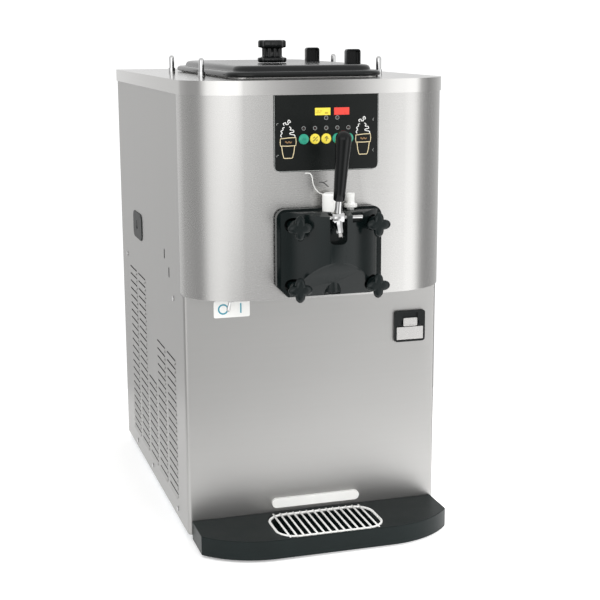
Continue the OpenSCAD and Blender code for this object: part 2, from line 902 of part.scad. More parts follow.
module freezer_door() {
    window = 5.2;
    notch = [25, 45];
    slot_top = 70;
    color(black) place() difference() {
        door_body();
        // Relief round the nozzle cap
        translate([0, spout_y, door_z - 1])
            cylinder(h = nozzle_low + nozzle_t - door_z + 1, d = nozzle_d + 2 * gap);
        // Bore of the draw valve, and the slot and window for the arm and its finger
        translate([0, spout_y, valve_low]) cylinder(h = door_h, d = valve_d + 2 * gap);
        translate([0, spout_y, nozzle_low - 1]) cylinder(h = valve_low, d = outlet_d);
        front_prism(door_back - 2 * bulge_out, 2 * bulge_out - door_back + slot_back)
            round_rect([-lever_slot[0] / 2, slot_low], [lever_slot[0], slot_top],
                lever_slot[1]);
        block([-window, window], [slot_back - 2, spout_y], [pivot_z - window, door_top + 1]);
        // Notch in which the end of the pivot pin shows
        block(notch, [door_back - 2 * bulge_out, pivot_y + 8], [pivot_z - 9, door_top + 1]);
        // Port from the freezing cylinder to the valve
        rod_y(0, axis_z, spout_y, door_back - spout_y + 1, 14);
        // Bore and bleed hole of the prime plug
        translate([plug_x, plug_y, plug_low - 2]) cylinder(h = door_h, d = plug_d + 2 * gap);
        rod_y(plug_x, plug_low + 3, plug_y, door_back - plug_y + 1, 6);
        rod_x(-24, 80, pivot_y, pivot_z, pivot_d + 0.2);
        for (x = [-screw_x, screw_x], z = screw_z) {
            rod_y(x, z, door_face - 1, door_t + 2, stud_d + 0.8);
            rod_y(x, z, door_back - 2 * bulge_out,
                2 * bulge_out - door_t + pocket_floor, pocket_d);
        }
    }
}

// Cap on the spout with a six-pointed opening
module nozzle_cap() {
    color(black) place() translate([0, spout_y, nozzle_low]) difference() {
        cylinder(h = nozzle_t, d = nozzle_d);
        for (i = [0, 1]) rotate(i * 60)
            translate([0, 0, -1]) cylinder(h = nozzle_t + 2, d = outlet_d, $fn = 3);
    }
}

module pivot_pin() {
    color(steel) place() rod_x(-23.5, 66.5, pivot_y, pivot_z, pivot_d);
}

// ---- Draw handle and valve ----

// Moves its children to the pivot, with Z along the leaning handle
module on_handle() {
    translate([0, pivot_y, pivot_z]) rotate([handle_lean, 0, 0]) children();
}

// Moves its children to the pivot, with Z down along the toe of the arm
module on_toe() {
    translate([0, pivot_y, pivot_z]) rotate([180 - toe_lean, 0, 0]) children();
}

module draw_arm() {
    color(steel) place() difference() {
        union() {
            rod_x(-hub_w / 2, hub_w, pivot_y, pivot_z, hub_d);
            on_handle() cylinder(h = grip_start, d = neck_d);
            on_handle() cylinder(h = grip_stud, d = grip_stud_d);
            on_toe() cylinder(h = toe_len, d = toe_d);
            block([-4, 4], [pivot_y, pivot_y + finger_r], [pivot_z - 3, pivot_z + 3]);
            rod_x(-4, 8, pivot_y + finger_r, pivot_z, finger_t);
        }
        rod_x(-hub_w, 2 * hub_w, pivot_y, pivot_z, pivot_d + 2 * running);
        on_toe() translate([0, 0, 12]) cylinder(h = 40, d = adjuster_d - 2);
    }
}

module draw_grip() {
    straight = handle_len - grip_d / 2;
    color(black) place() on_handle() difference() {
        union() {
            translate([0, 0, grip_start])
                cylinder(h = straight - grip_start, d1 = grip_low_d, d2 = grip_d);
            translate([0, 0, straight]) sphere(d = grip_d);
        }
        cylinder(h = grip_stud + 1, d = grip_stud_d + 0.2);
    }
}

module adjusting_screw() {
    head_l = adjuster_len - toe_len;
    color(steel) place() on_toe() difference() {
        union() {
            translate([0, 0, 13]) cylinder(h = toe_len - 13, d = adjuster_d - 2.2);
            translate([0, 0, toe_len]) cylinder(h = head_l, d = adjuster_d);
        }
        translate([-5, -0.8, adjuster_len - 2]) cube([10, 1.6, 5]);
    }
}

// White plunger with a pocket for the arm's finger
module draw_valve() {
    up = 4.5;
    down = 4.8;
    mouth = finger_r - 4;
    color(white) place() difference() {
        union() {
            translate([0, spout_y, valve_low + gap])
                cylinder(h = valve_top - 3 - valve_low - gap, d = valve_d);
            translate([0, spout_y, valve_top - 3])
                cylinder(h = 3, d1 = valve_d, d2 = valve_d - 6);
        }
        side_prism(2 * (4 + gap)) polygon([
            [pivot_y, pivot_z + up], [pivot_y + finger_r + up, pivot_z + up],
            [pivot_y + finger_r + up, pivot_z - down], [pivot_y + mouth, pivot_z - down],
            [pivot_y, pivot_z - down - mouth * tan(draw_turn)]]);
    }
}

module prime_plug() {
    color(white) place() translate([plug_x, plug_y, 0]) {
        translate([0, 0, plug_low]) cylinder(h = door_top + 2 - plug_low, d = plug_d);
        translate([0, 0, door_top + gap]) cylinder(h = 6, d = 22);
        translate([0, 0, door_top + 6]) cylinder(h = 18, d = 13);
    }
}

// Hand screw with four lobes; its blind hole takes the end of a stud
module hand_screw(x, z) {
    back = door_face + pocket_floor - gap;
    disc_y = back - boss_l;
    color(black) place() difference() {
        union() {
            rod_y(x, z, disc_y, boss_l, boss_d);
            translate([x, disc_y, z]) rotate([90, 0, 0]) linear_extrude(disc_t) {
                circle(d = core_d);
                for (i = [0 : 3]) rotate(i * 90) translate([lobe_r, 0]) circle(d = lobe_d);
            }
        }
        rod_y(x, z, back - 27, 40, stud_d + 2 * gap);
    }
}

module hand_screw_1() { hand_screw(-screw_x, screw_z[0]); }
module hand_screw_2() { hand_screw(screw_x, screw_z[0]); }
module hand_screw_3() { hand_screw(-screw_x, screw_z[1]); }
module hand_screw_4() { hand_screw(screw_x, screw_z[1]); }

// ---- Beater and drive ----

// Beater with a core, four spoked rings, two bars for its blades and a drive shaft
module beater() {
    core_d = 36;
    ring_d = 2 * (beater_r - blade_t) - 2;
    bar = [beater_r - blade_t - 9, beater_r - blade_t];
    color(steel) place() difference() {
        union() {
            rod_y(0, axis_z, beater_start, beater_len, core_d);
            for (i = [0 : 3])
                rod_y(0, axis_z, beater_start + i * (beater_len - 8) / 3, 8, ring_d);
            for (z = [axis_z + bar[0], axis_z - bar[1]])
                block([-5, 5], [beater_start, beater_start + beater_len], [z, z + 9]);
            rod_y(0, axis_z, beater_start + beater_len - 5, end_wall + 50, shaft_d);
        }
        for (a = [0 : 60 : 300]) translate([0, 0, axis_z]) rotate([0, a + 30, 0])
            rod_y(30, 0, beater_start - 1, beater_len + 2, 14);
    }
}

// Scraper blade on each bar of the beater
module scraper_blades() {
    color(white) place() for (s = [-1, 1])
        block([-6, 6], [beater_start, beater_start + beater_len],
            [axis_z + (s > 0 ? beater_r - blade_t : -beater_r),
                axis_z + (s > 0 ? beater_r : blade_t - beater_r)]);
}

// Gear case with the motor behind it, standing on the shelf
module gear_motor() {
    case_y = barrel_back + 6;
    motor_y = case_y + gear_len;
    color([0.4, 0.42, 0.45]) place() difference() {
        union() {
            block([-gear_w / 2, gear_w / 2], [case_y, motor_y], [shelf_top, axis_z + gear_w / 2]);
            rod_y(0, axis_z, barrel_back, 8, shaft_d + 26);
            rod_y(0, axis_z, motor_y - 1, motor_l, motor_d);
            for (y = [motor_y - 1, motor_y + motor_l - 11])
                rod_y(0, axis_z, y, 10, motor_d + 8);
            block([-40, 40], [motor_y + 20, motor_y + motor_l - 20], [shelf_top, axis_z - 50]);
        }
        rod_y(0, axis_z, barrel_back - 1, gear_len / 2 + 10, shaft_d + 2 * gap);
    }
}

// ---- Refrigeration and electrics ----

module compressor() {
    shell_d = 150;
    shell_h = 190;
    round_r = 36;
    color([0.12, 0.12, 0.13]) place() translate([compressor_x, compressor_y, 0]) {
        translate([0, 0, 30]) rotate_extrude() {
            square([shell_d / 2 - round_r, shell_h]);
            translate([0, round_r]) square([shell_d / 2, shell_h - 2 * round_r]);
            for (z = [round_r, shell_h - round_r]) intersection() {
                translate([shell_d / 2 - round_r, z]) circle(r = round_r);
                square([shell_d, shell_h]);
            }
        }
        translate([-90, -60, 20]) cube([180, 120, 12]);
        for (px = [-78, 78], py = [-48, 48]) translate([px, py, 2]) cylinder(h = 18, d = 20);
    }
}

module condenser() {
    coil_w = 300;
    coil_d = 50;
    fins = 30;
    low = 24;
    high = 330;
    front = body_d - 90;
    color([0.65, 0.66, 0.68]) place() {
        for (x = [-coil_w / 2, coil_w / 2 - 3]) block([x, x + 3], [front, front + coil_d],
            [2, high]);
        for (i = [1 : fins - 1])
            block([-coil_w / 2 + i * coil_w / fins, -coil_w / 2 + i * coil_w / fins + 1],
                [front + 2, front + coil_d - 2], [low, high - 4]);
        for (row = [0 : 5], col = [0, 1])
            rod_x(-coil_w / 2, coil_w, front + 14 + col * 22, low + 30 + row * 48, 9);
    }
}

module fan_shroud() {
    color([0.3, 0.3, 0.32]) place() difference() {
        union() {
            block([-150, 150], [body_d - 94, body_d - 91], [2, 330]);
            rod_y(0, fan_z, fan_y, 26, fan_d + 6);
        }
        rod_y(0, fan_z, fan_y - 12, 60, fan_d);
    }
}

// Fan motor on a post, with its shaft reaching into the fan's hub
module fan_motor() {
    front = fan_y - 92;
    color([0.25, 0.25, 0.27]) place() {
        rod_y(0, fan_z, front, 70, 80);
        block([-8, 8], [front + 20, front + 50], [4, fan_z - 36]);
        block([-50, 50], [front + 10, front + 60], [2, 6]);
        rod_y(0, fan_z, front + 60, 42, 8);
    }
}

module fan_blade() {
    blades = 5;
    blade_w = 60;
    pitch = 24;
    color([0.75, 0.76, 0.78]) place() translate([0, fan_y, fan_z]) difference() {
        union() {
            rod_y(0, 0, 2, 20, 60);
            for (i = [0 : blades - 1]) rotate([0, i * 360 / blades, 0])
                translate([22, 12, 0]) rotate([pitch, 0, 0])
                    translate([0, -1, -blade_w / 2]) cube([fan_d / 2 - 36, 2, blade_w]);
        }
        rod_y(0, 0, -1, 13, 8 + 2 * gap);
    }
}

module control_box() {
    color([0.55, 0.56, 0.58]) place()
        block([half_w - 120, half_w - 40], [70, 250], [shelf_top, shelf_top + 200]);
}

module cord_gland() {
    color(black) place() difference() {
        union() {
            rod_y(gland_x, gland_z, body_d - 14, 14 + gland_out, 19.6);
            rod_y(gland_x, gland_z, body_d, 6, 30);
        }
        rod_y(gland_x, gland_z, body_d - 20, gland_out + 30, 11);
    }
}

// ---- Drip pan, tray and grate ----

module drip_pan() {
    pan_w = pan_bar_w - 12;
    skin = 1.5;
    low = pan_z + 1 + gap;
    color(white) place() difference() {
        union() {
            front_prism(-pan_out, pan_out - gap)
                round_rect([pan_x - pan_bar_w / 2, pan_z], [pan_bar_w, pan_bar_h], 8.5);
            block([pan_x - pan_w / 2 + 1, pan_x + pan_w / 2 - 1], [-gap - 1, pan_len],
                [low, low + 13.5]);
        }
        block([pan_x - pan_w / 2 + 1 + skin, pan_x + pan_w / 2 - 1 - skin], [2, pan_len - skin],
            [low + skin, 100]);
    }
}

module tray_plan(grow) {
    flat = tray_flat / 2;
    ends_y = tray_end_r - tray_out;
    translate([-flat, -tray_out - grow]) square([2 * flat, tray_out + grow - tray_gap + grow]);
    for (s = [0, 1]) mirror([s, 0]) intersection() {
        translate([flat, ends_y]) circle(r = tray_end_r + grow, $fn = 180);
        translate([flat, -tray_out - grow])
            square([tray_w / 2 - flat + grow, tray_out + grow - tray_gap + grow]);
    }
}

// Opening of the tray, moved in by inset from the outside of the grate
module grate_plan(inset) {
    reach = grate_wire / 2 - inset;
    round_rect([-grate_x - reach, grate_y[0] - reach],
        [2 * (grate_x + reach), grate_y[1] - grate_y[0] + 2 * reach], grate_r + reach);
}

module drip_tray() {
    floor_z = tray_low + 2;
    color(black) place() difference() {
        union() {
            translate([0, 0, tray_low]) linear_extrude(tray_h) difference() {
                tray_plan(0);
                tray_plan(-tray_wall);
            }
            translate([0, 0, tray_top - tray_wall]) linear_extrude(tray_wall)
                tray_plan(-tray_wall / 2);
            translate([0, 0, floor_z]) linear_extrude(tray_top - floor_z) grate_plan(-1.8);
            for (x = [-60, 60], y = [-100, -35])
                translate([x, y, -foot_h]) cylinder(h = foot_h + floor_z + 1, d = 12);
        }
        translate([0, 0, grate_z - grate_wire / 2 - gap]) linear_extrude(20)
            grate_plan(-gap);
        translate([0, 0, floor_z + 2]) linear_extrude(60) grate_plan(well_in);
    }
}

// Closed loop of wire in the plane Z = 0
module wire_loop(x, y, r, wire) {
    for (s = [-1, 1]) {
        translate([-x + r, s > 0 ? y[1] : y[0], 0]) rotate([0, 90, 0])
            cylinder(h = 2 * (x - r), d = wire);
        translate([s * x, y[0] + r, 0]) rotate([-90, 0, 0])
            cylinder(h = y[1] - y[0] - 2 * r, d = wire);
    }
    for (c = [[x - r, y[1] - r, 0], [-x + r, y[1] - r, 90], [-x + r, y[0] + r, 180],
        [x - r, y[0] + r, 270]])
        translate([c[0], c[1], 0]) rotate(c[2])
            rotate_extrude(angle = 90) translate([r, 0]) circle(d = wire, $fn = 32);
}

// Wire grate: bars across a loop, each ending over the loop's wire
module tray_grate() {
    inset = 2.2;
    color(white) place() translate([0, 0, grate_z]) {
        wire_loop(grate_x, grate_y, grate_r, grate_wire);
        for (i = [0 : grate_bars - 1]) {
            x = (i - (grate_bars - 1) / 2) * bar_pitch;
            past = max(0, abs(x) - (grate_x - grate_r));
            corner = grate_r - sqrt(grate_r * grate_r - past * past);
            translate([x, grate_y[0] + corner + inset - 1.5, 1])
                rotate([-90, 0, 0]) cylinder(
                    h = grate_y[1] - grate_y[0] - 2 * (corner + inset) + 3, d = bar_d);
        }
    }
}

base_pan();
rubber_feet();
inner_frame();
left_side_panel();
right_side_panel();
rear_panel();
lower_front_panel();
upper_front_panel();
top_cap();
locating_pins();
panel_screws();
side_cover_plate();
control_panel();
yellow_window();
red_window();
indicator_lenses();
switch_board();
off_on_label();
toggle_bush();
latch_housing();
hopper();
freezing_cylinder();
cylinder_insulation();
door_studs();
door_gasket();
freezer_door();
nozzle_cap();
pivot_pin();
compressor();
condenser();
fan_shroud();
fan_motor();
gear_motor();
control_box();
cord_gland();
draw_arm();
draw_grip();
adjusting_screw();
draw_valve();
prime_plug();
hand_screw_1();
hand_screw_2();
hand_screw_3();
hand_screw_4();
key_1();
key_2();
key_3();
key_4();
key_5();
toggle_lever();
latch_flap();
hopper_lid();
lid_knob();
mix_feed_tube();
drip_pan();
drip_tray();
tray_grate();
beater();
scraper_blades();
fan_blade();
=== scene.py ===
"""Counter-top soft serve freezer: finishes, fine pieces and a studio around its frame."""
import json
import math

import bmesh
import bpy
from bpy.props import FloatProperty, FloatVectorProperty, PointerProperty
from bpy.types import Operator, Panel, PropertyGroup
from mathutils import Matrix, Vector

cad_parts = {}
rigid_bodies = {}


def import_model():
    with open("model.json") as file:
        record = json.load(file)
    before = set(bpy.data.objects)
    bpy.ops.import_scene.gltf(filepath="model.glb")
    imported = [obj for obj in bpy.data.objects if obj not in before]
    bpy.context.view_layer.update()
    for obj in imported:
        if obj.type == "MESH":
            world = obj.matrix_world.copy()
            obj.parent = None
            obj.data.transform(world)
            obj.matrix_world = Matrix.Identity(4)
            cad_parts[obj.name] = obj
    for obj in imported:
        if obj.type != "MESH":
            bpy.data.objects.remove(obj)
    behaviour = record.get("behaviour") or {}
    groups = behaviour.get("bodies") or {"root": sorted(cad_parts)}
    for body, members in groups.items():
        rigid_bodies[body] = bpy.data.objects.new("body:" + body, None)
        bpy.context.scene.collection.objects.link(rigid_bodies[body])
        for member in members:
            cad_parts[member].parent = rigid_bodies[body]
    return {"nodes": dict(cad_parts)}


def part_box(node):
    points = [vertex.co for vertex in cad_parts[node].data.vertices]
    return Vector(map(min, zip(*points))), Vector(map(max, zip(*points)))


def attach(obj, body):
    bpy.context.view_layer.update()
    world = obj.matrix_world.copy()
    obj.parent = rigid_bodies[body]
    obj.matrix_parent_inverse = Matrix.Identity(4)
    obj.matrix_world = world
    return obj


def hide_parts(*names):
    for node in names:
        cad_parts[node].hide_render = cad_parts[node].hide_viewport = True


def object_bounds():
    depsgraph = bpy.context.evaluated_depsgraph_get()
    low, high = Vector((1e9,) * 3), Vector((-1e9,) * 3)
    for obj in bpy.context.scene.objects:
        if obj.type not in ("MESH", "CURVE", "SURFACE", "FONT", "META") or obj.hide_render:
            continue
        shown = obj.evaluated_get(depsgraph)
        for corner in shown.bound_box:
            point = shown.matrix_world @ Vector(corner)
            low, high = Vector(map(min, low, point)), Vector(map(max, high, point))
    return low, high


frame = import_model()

bl_info = {
    "name": "Soft serve freezer",
    "version": (1, 0, 0),
    "blender": (4, 5, 0),
    "location": "View3D > Sidebar > Freezer",
    "description": "Builds the finishes and fine pieces of a counter-top soft serve freezer",
    "category": "Object",
}

CAD_LOW, CAD_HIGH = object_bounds()
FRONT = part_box("lower_front_panel")[0].y
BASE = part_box("base_pan")[0].z
MM = 0.001
materials = {}  # Each under the name that this script gives it.


def mm(x, y, z):
    """A point in metres from millimetres off the flat front panel and the base."""
    return Vector((x * MM, FRONT + y * MM, BASE + z * MM))


# ---- Finishes ----

class Flow:
    """An output of a shader node, which can be used in sums as a number can."""

    def __init__(self, finish, socket):
        self.finish = finish
        self.socket = socket

    def math(self, operation, *values):
        return self.finish.node("ShaderNodeMath", {"operation": operation}, *values)

    def __add__(self, other):
        return self.math("ADD", self, other)

    def __mul__(self, other):
        return self.math("MULTIPLY", self, other)

    def __truediv__(self, other):
        return self.math("DIVIDE", self, other)

    def __rtruediv__(self, other):
        return self.math("DIVIDE", other, self)

    __radd__ = __add__
    __rmul__ = __mul__


class Finish:
    """A material with one Principled shader, whose constants are set on its own sockets."""

    def __init__(self, name, **constants):
        self.material = bpy.data.materials.new(name)
        self.material.use_nodes = True
        self.tree = self.material.node_tree
        self.shader = self.tree.nodes["Principled BSDF"]
        materials[name] = self.material
        for socket, value in constants.items():
            self.set(socket.replace("_", " "), value)

    def node(self, kind, settings=None, *values, out=0):
        """Adds a node: its settings first, then the values or links of its inputs."""
        new = self.tree.nodes.new(kind)
        settings = dict(settings or {})
        stops = settings.pop("stops", None)
        for key, value in settings.items():
            setattr(new, key, value)
        if stops:
            ramp = new.color_ramp.elements
            while len(ramp) < len(stops):
                ramp.new(1.0)
            for element, (place, colour) in zip(ramp, stops):
                element.position = place
                element.color = (*colour, 1.0)
        pairs = values[0].items() if values and isinstance(values[0], dict) else enumerate(values)
        for key, value in pairs:
            self.feed(new.inputs[key], value)
        return Flow(self, new.outputs[out])

    def feed(self, socket, value):
        """Links a Flow to an input, or sets the input's own value."""
        if isinstance(value, Flow):
            self.tree.links.new(value.socket, socket)
        elif socket.type == "RGBA" and len(value) == 3:
            socket.default_value = (*value, 1.0)
        else:
            socket.default_value = value

    def set(self, name, value):
        self.feed(self.shader.inputs[name], value)

    def place(self, stretch=(1, 1, 1)):
        """Position on the object in metres, stretched along each axis."""
        spot = self.node("ShaderNodeTexCoord", {}, out=3)
        return self.node("ShaderNodeVectorMath", {"operation": "MULTIPLY"}, spot, stretch)

    def along(self, axis):
        """One coordinate of the position on the object, in metres."""
        spot = self.node("ShaderNodeTexCoord", {}, out=3)
        return self.node("ShaderNodeSeparateXYZ", {}, spot, out="XYZ".index(axis))

    def noise(self, scale, detail, stretch=(1, 1, 1), roughness=0.55):
        return self.node("ShaderNodeTexNoise", {}, {
            "Vector": self.place(stretch), "Scale": scale, "Detail": detail,
            "Roughness": roughness})

    def cells(self, scale):
        return self.node("ShaderNodeTexVoronoi", {}, {
            "Vector": self.place(), "Scale": scale})

    def between(self, value, low, high, start=0.0, end=1.0):
        """Maps value from low..high to start..end, held at both ends."""
        return self.node("ShaderNodeMapRange", {}, {
            "Value": value, "From Min": low, "From Max": high, "To Min": start, "To Max": end})

    def mix(self, factor, first, second):
        return self.node("ShaderNodeMix", {"data_type": "RGBA"}, {
            0: factor, 6: first, 7: second}, out=2)

    def bump(self, height, distance, strength):
        relief = self.node("ShaderNodeBump", {}, {
            "Strength": strength, "Distance": distance, "Height": height})
        self.set("Normal", relief)


class Sky(Finish):
    """The studio's surroundings, made with the same methods as a material."""

    STRENGTH = 2.0  # A ramp's colours stop at one, so levels are stored as a part of this.
    BACKDROP = 0.55  # What the camera sees behind the object, as a part of the strength.
    LOW_BAND = (-0.27, -0.06)  # Sine of the elevation where low_ring gives way to level_ring.
    HIGH_BAND = (0.12, 0.55)  # Sine of the elevation where level_ring gives way to overhead.

    def __init__(self, name):
        self.world = bpy.data.worlds.new(name)
        self.world.use_nodes = True
        self.tree = self.world.node_tree
        self.shader = self.tree.nodes["Background"]

    def ring(self, turn, bearings):
        """Brightness around the horizon, from (degrees, level) pairs."""
        stops = [((angle + 180.0) / 360.0, (level / self.STRENGTH,) * 3)
                 for angle, level in bearings]
        return self.node("ShaderNodeValToRGB", {"stops": stops}, turn)

    def panorama(self, level_ring, low_ring, overhead):
        """Brightness by bearing, in degrees to the right of straight ahead of the front."""
        way = self.node("ShaderNodeTexCoord")
        x, y, z = (self.node("ShaderNodeSeparateXYZ", {}, way, out=i) for i in range(3))
        turn = x.math("ARCTAN2", x, y * -1.0) / (2 * math.pi) + 0.5
        near = self.mix(self.between(z, *self.LOW_BAND), self.ring(turn, low_ring),
                        self.ring(turn, level_ring))
        glow = self.mix(self.between(z, *self.HIGH_BAND), near,
                        (overhead / self.STRENGTH,) * 3)
        seen = self.node("ShaderNodeLightPath")
        self.set("Color", self.mix(seen, glow, (self.BACKDROP,) * 3))
        self.set("Strength", self.STRENGTH)


def shade(colour, factor):
    """The same colour, lighter or darker."""
    return tuple(min(1.0, part * factor) for part in colour[:3])


def brushed_steel(name, colour, rough, grain, contrast=1.0):
    """Stainless sheet with fine scratches that run along the grain, and faint clouding."""
    stretch = [1.0, 1.0, 1.0]
    stretch["XYZ".index(grain)] = 0.02
    drift = 0.015 * contrast
    steel = Finish(name, Metallic=1.0)
    fine = steel.noise(1400.0, 3.0, stretch, 0.6)
    broad = steel.noise(120.0, 2.0, stretch)
    cloud = steel.noise(2.6, 3.0)
    tone = steel.between(fine * 0.4 + broad * 0.3 + cloud * 0.3, 0.35, 0.65)
    steel.set("Base Color", steel.mix(tone, shade(colour, 1 - drift), shade(colour, 1 + drift)))
    steel.set("Roughness", steel.between(fine * 0.5 + cloud * 0.5, 0.3, 0.7,
                                         rough - drift, rough + 0.02 * contrast))
    steel.bump(fine, 0.000004, 0.15)


def bright_metal(name, colour, rough, scale=90.0):
    """Polished or plated metal with hairline wear."""
    metal = Finish(name, Metallic=1.0)
    hair = metal.noise(scale, 5.0, (1, 1, 6), 0.7)
    cloud = metal.noise(18.0, 3.0)
    metal.set("Base Color", metal.mix(cloud, shade(colour, 0.92), shade(colour, 1.05)))
    metal.set("Roughness", metal.between(hair * 0.5 + cloud * 0.5, 0.3, 0.7,
                                         rough * 0.7, rough * 1.6))
    metal.bump(hair, 0.00002, 0.4)


def moulded(name, colour, rough, grain, scale, spread=0.12, level=0.5):
    """Moulded plastic or rubber: a grain this deep and fine, dull patches, a colour spread."""
    plastic = Finish(name, Specular_IOR_Level=level)
    pores = plastic.noise(scale, 3.0)
    patch = plastic.noise(14.0, 4.0)
    tone = plastic.between(patch, 0.3, 0.7)
    plastic.set("Base Color", plastic.mix(tone, shade(colour, 1 - spread),
                                          shade(colour, 1 + spread)))
    plastic.set("Roughness", plastic.between(pores * 0.4 + patch * 0.6, 0.3, 0.7,
                                             rough * 0.82, rough * 1.22))
    plastic.bump(pores, grain, 0.6)


def painted(name, colour):
    """Sprayed paint with orange peel, over metal."""
    rough = 0.45
    paint = Finish(name)
    peel = paint.noise(260.0, 2.0)
    dust = paint.noise(22.0, 5.0)
    paint.set("Base Color", paint.mix(paint.between(dust, 0.45, 0.75), colour,
                                      shade(colour, 1.35)))
    paint.set("Roughness", paint.between(dust, 0.3, 0.7, rough * 0.85, rough * 1.25))
    paint.bump(peel, 0.00012, 0.5)


def zinc(name, colour):
    """Galvanised sheet with its spangle."""
    metal = Finish(name, Metallic=0.9)
    spangle = metal.cells(85.0)
    cloud = metal.noise(9.0, 4.0)
    metal.set("Base Color", metal.mix(metal.between(spangle, 0.0, 0.7),
                                      shade(colour, 0.82), shade(colour, 1.15)))
    metal.set("Roughness", metal.between(spangle * 0.6 + cloud * 0.4, 0.1, 0.7, 0.34, 0.58))
    metal.bump(spangle, 0.00004, 0.4)


def film(name, colour, rough, glow=0.0, level=0.5):
    """Printed plastic film with a faint weave of print dots."""
    sheet = Finish(name, Specular_IOR_Level=level)
    dots = sheet.cells(1600.0)
    cloud = sheet.noise(30.0, 3.0)
    sheet.set("Base Color", sheet.mix(cloud, shade(colour, 0.85), shade(colour, 1.12)))
    sheet.set("Roughness", sheet.between(cloud, 0.3, 0.7, rough * 0.8, rough * 1.2))
    sheet.bump(dots, 0.00002, 0.4)
    # With glow, the film gives off light of its own colour: a painted glow, as the film is no
    # lamp.
    if glow:
        sheet.set("Emission Color", (*colour, 1.0))
        sheet.set("Emission Strength", glow)


def foam_rubber(name, colour):
    """Open foam skin with pores, each painted darker in its middle as shade in the hole."""
    foam = Finish(name)
    pores = foam.cells(420.0)
    cloud = foam.noise(25.0, 3.0)
    foam.set("Base Color", foam.mix(pores, shade(colour, 0.7), shade(colour, 1.1)))
    foam.set("Roughness", foam.between(cloud, 0.3, 0.7, 0.75, 0.95))
    foam.bump(pores, 0.0006, 0.7)


def board(name, colour):
    """Circuit board with tracks."""
    laminate = Finish(name)
    tracks = laminate.cells(160.0)
    laminate.set("Base Color", laminate.mix(laminate.between(tracks, 0.42, 0.45), colour,
                                            shade(colour, 2.4)))
    laminate.set("Roughness", laminate.between(tracks, 0.0, 1.0, 0.3, 0.5))
    laminate.bump(tracks, 0.0001, 0.5)


# ---- Meshes ----

def publish(name, mesh_data, material, node, replaces=True, sharp=30.0):
    """Makes an object of a bmesh that rides on a node's body, and replaces the node or not.

    Edges that turn by more than sharp, in degrees, are shaded as creases."""
    limit = math.radians(sharp)
    bmesh.ops.recalc_face_normals(mesh_data, faces=mesh_data.faces[:])
    for face in mesh_data.faces:
        face.smooth = True
    for edge in mesh_data.edges:
        edge.smooth = len(edge.link_faces) == 2 and edge.calc_face_angle(0) < limit
    mesh = bpy.data.meshes.new(name)
    mesh_data.to_mesh(mesh)
    mesh_data.free()
    piece = bpy.data.objects.new(name, mesh)
    bpy.context.scene.collection.objects.link(piece)
    mesh.materials.append(materials[material])
    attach(piece, body_of(node))
    if replaces:
        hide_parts(node)
    return piece


def soften(piece, width, angle):
    """Rounds the edges of a piece, so that they catch the light as folded metal does."""
    rounding = piece.modifiers.new("round_edges", "BEVEL")
    rounding.width = width
    rounding.segments = 2
    rounding.limit_method = "ANGLE"
    rounding.angle_limit = math.radians(angle)
    rounding.harden_normals = True
    rounding.use_clamp_overlap = True


def body_of(node):
    """Name of the body that a CAD node rides on."""
    return frame["nodes"][node].parent.name.split(":")[1]


def refine(node, width):
    """Replaces a CAD node with a cleaned copy of its mesh whose edges are rounded."""
    crease = 32.0
    clean = bmesh.new()
    clean.from_mesh(frame["nodes"][node].data)
    bmesh.ops.remove_doubles(clean, verts=clean.verts[:], dist=0.000002)
    bmesh.ops.dissolve_limit(clean, angle_limit=math.radians(0.4), verts=clean.verts[:],
                             edges=clean.edges[:])
    piece = publish(node + "_fine", clean, MATERIAL_OF[node], node, sharp=crease)
    if width:
        soften(piece, width, crease)


def join_rings(mesh, low, high):
    """Faces between two rings of vertices."""
    for i in range(len(low)):
        j = (i + 1) % len(low)
        mesh.faces.new((low[i], low[j], high[j], high[i]))


def ring_stack(mesh, rings, closed_low=True, closed_high=True):
    """Joins rings of points, each with as many points as the next, into one skin."""
    made = [[mesh.verts.new(point) for point in ring] for ring in rings]
    for low, high in zip(made, made[1:]):
        join_rings(mesh, low, high)
    if closed_low:
        mesh.faces.new(made[0][::-1])
    if closed_high:
        mesh.faces.new(made[-1])
    return made


def ring_loop(mesh, rings):
    """Joins rings of points into one skin whose last ring meets its first."""
    made = ring_stack(mesh, rings, False, False)
    join_rings(mesh, made[-1], made[0])


def hoop(centre, radius, steps):
    """A ring of points around a centre, in an upright plane along the front."""
    return [centre + Vector((math.cos(2 * math.pi * i / steps), 0,
                             math.sin(2 * math.pi * i / steps))) * radius
            for i in range(steps)]


def turned(mesh, profile, centre, axis, steps, lobes=None):
    """A lathed skin: profile holds (distance along the axis, radius) pairs.

    lobes, if given, holds the number and the depth of the waves around the skin, and the
    radius above which there are waves."""
    axis = Vector(axis).normalized()
    side = axis.orthogonal().normalized()
    other = axis.cross(side)
    rings = []
    for run, radius in profile:
        ring = []
        for i in range(steps):
            turn = 2 * math.pi * i / steps
            reach = radius
            if lobes and radius > lobes[2]:
                reach += lobes[1] * math.cos(lobes[0] * turn)
            ring.append(centre + axis * run
                        + (side * math.cos(turn) + other * math.sin(turn)) * reach)
        rings.append(ring)
    ring_stack(mesh, rings)


def tube(mesh, path, radius, steps, closed=False):
    """A round bar along a path of points."""
    count = len(path)
    rings = []
    normal = None
    for i, point in enumerate(path):
        ahead = path[(i + 1) % count] if closed or i + 1 < count else point
        behind = path[i - 1] if closed or i else point
        along = (ahead - behind).normalized()
        if normal is None:
            normal = along.orthogonal().normalized()
        normal = (normal - along * normal.dot(along)).normalized()
        across = along.cross(normal)
        rings.append([point + (normal * math.cos(2 * math.pi * k / steps)
                               + across * math.sin(2 * math.pi * k / steps)) * radius
                      for k in range(steps)])
    if closed:
        ring_loop(mesh, rings)
    else:
        ring_stack(mesh, rings)


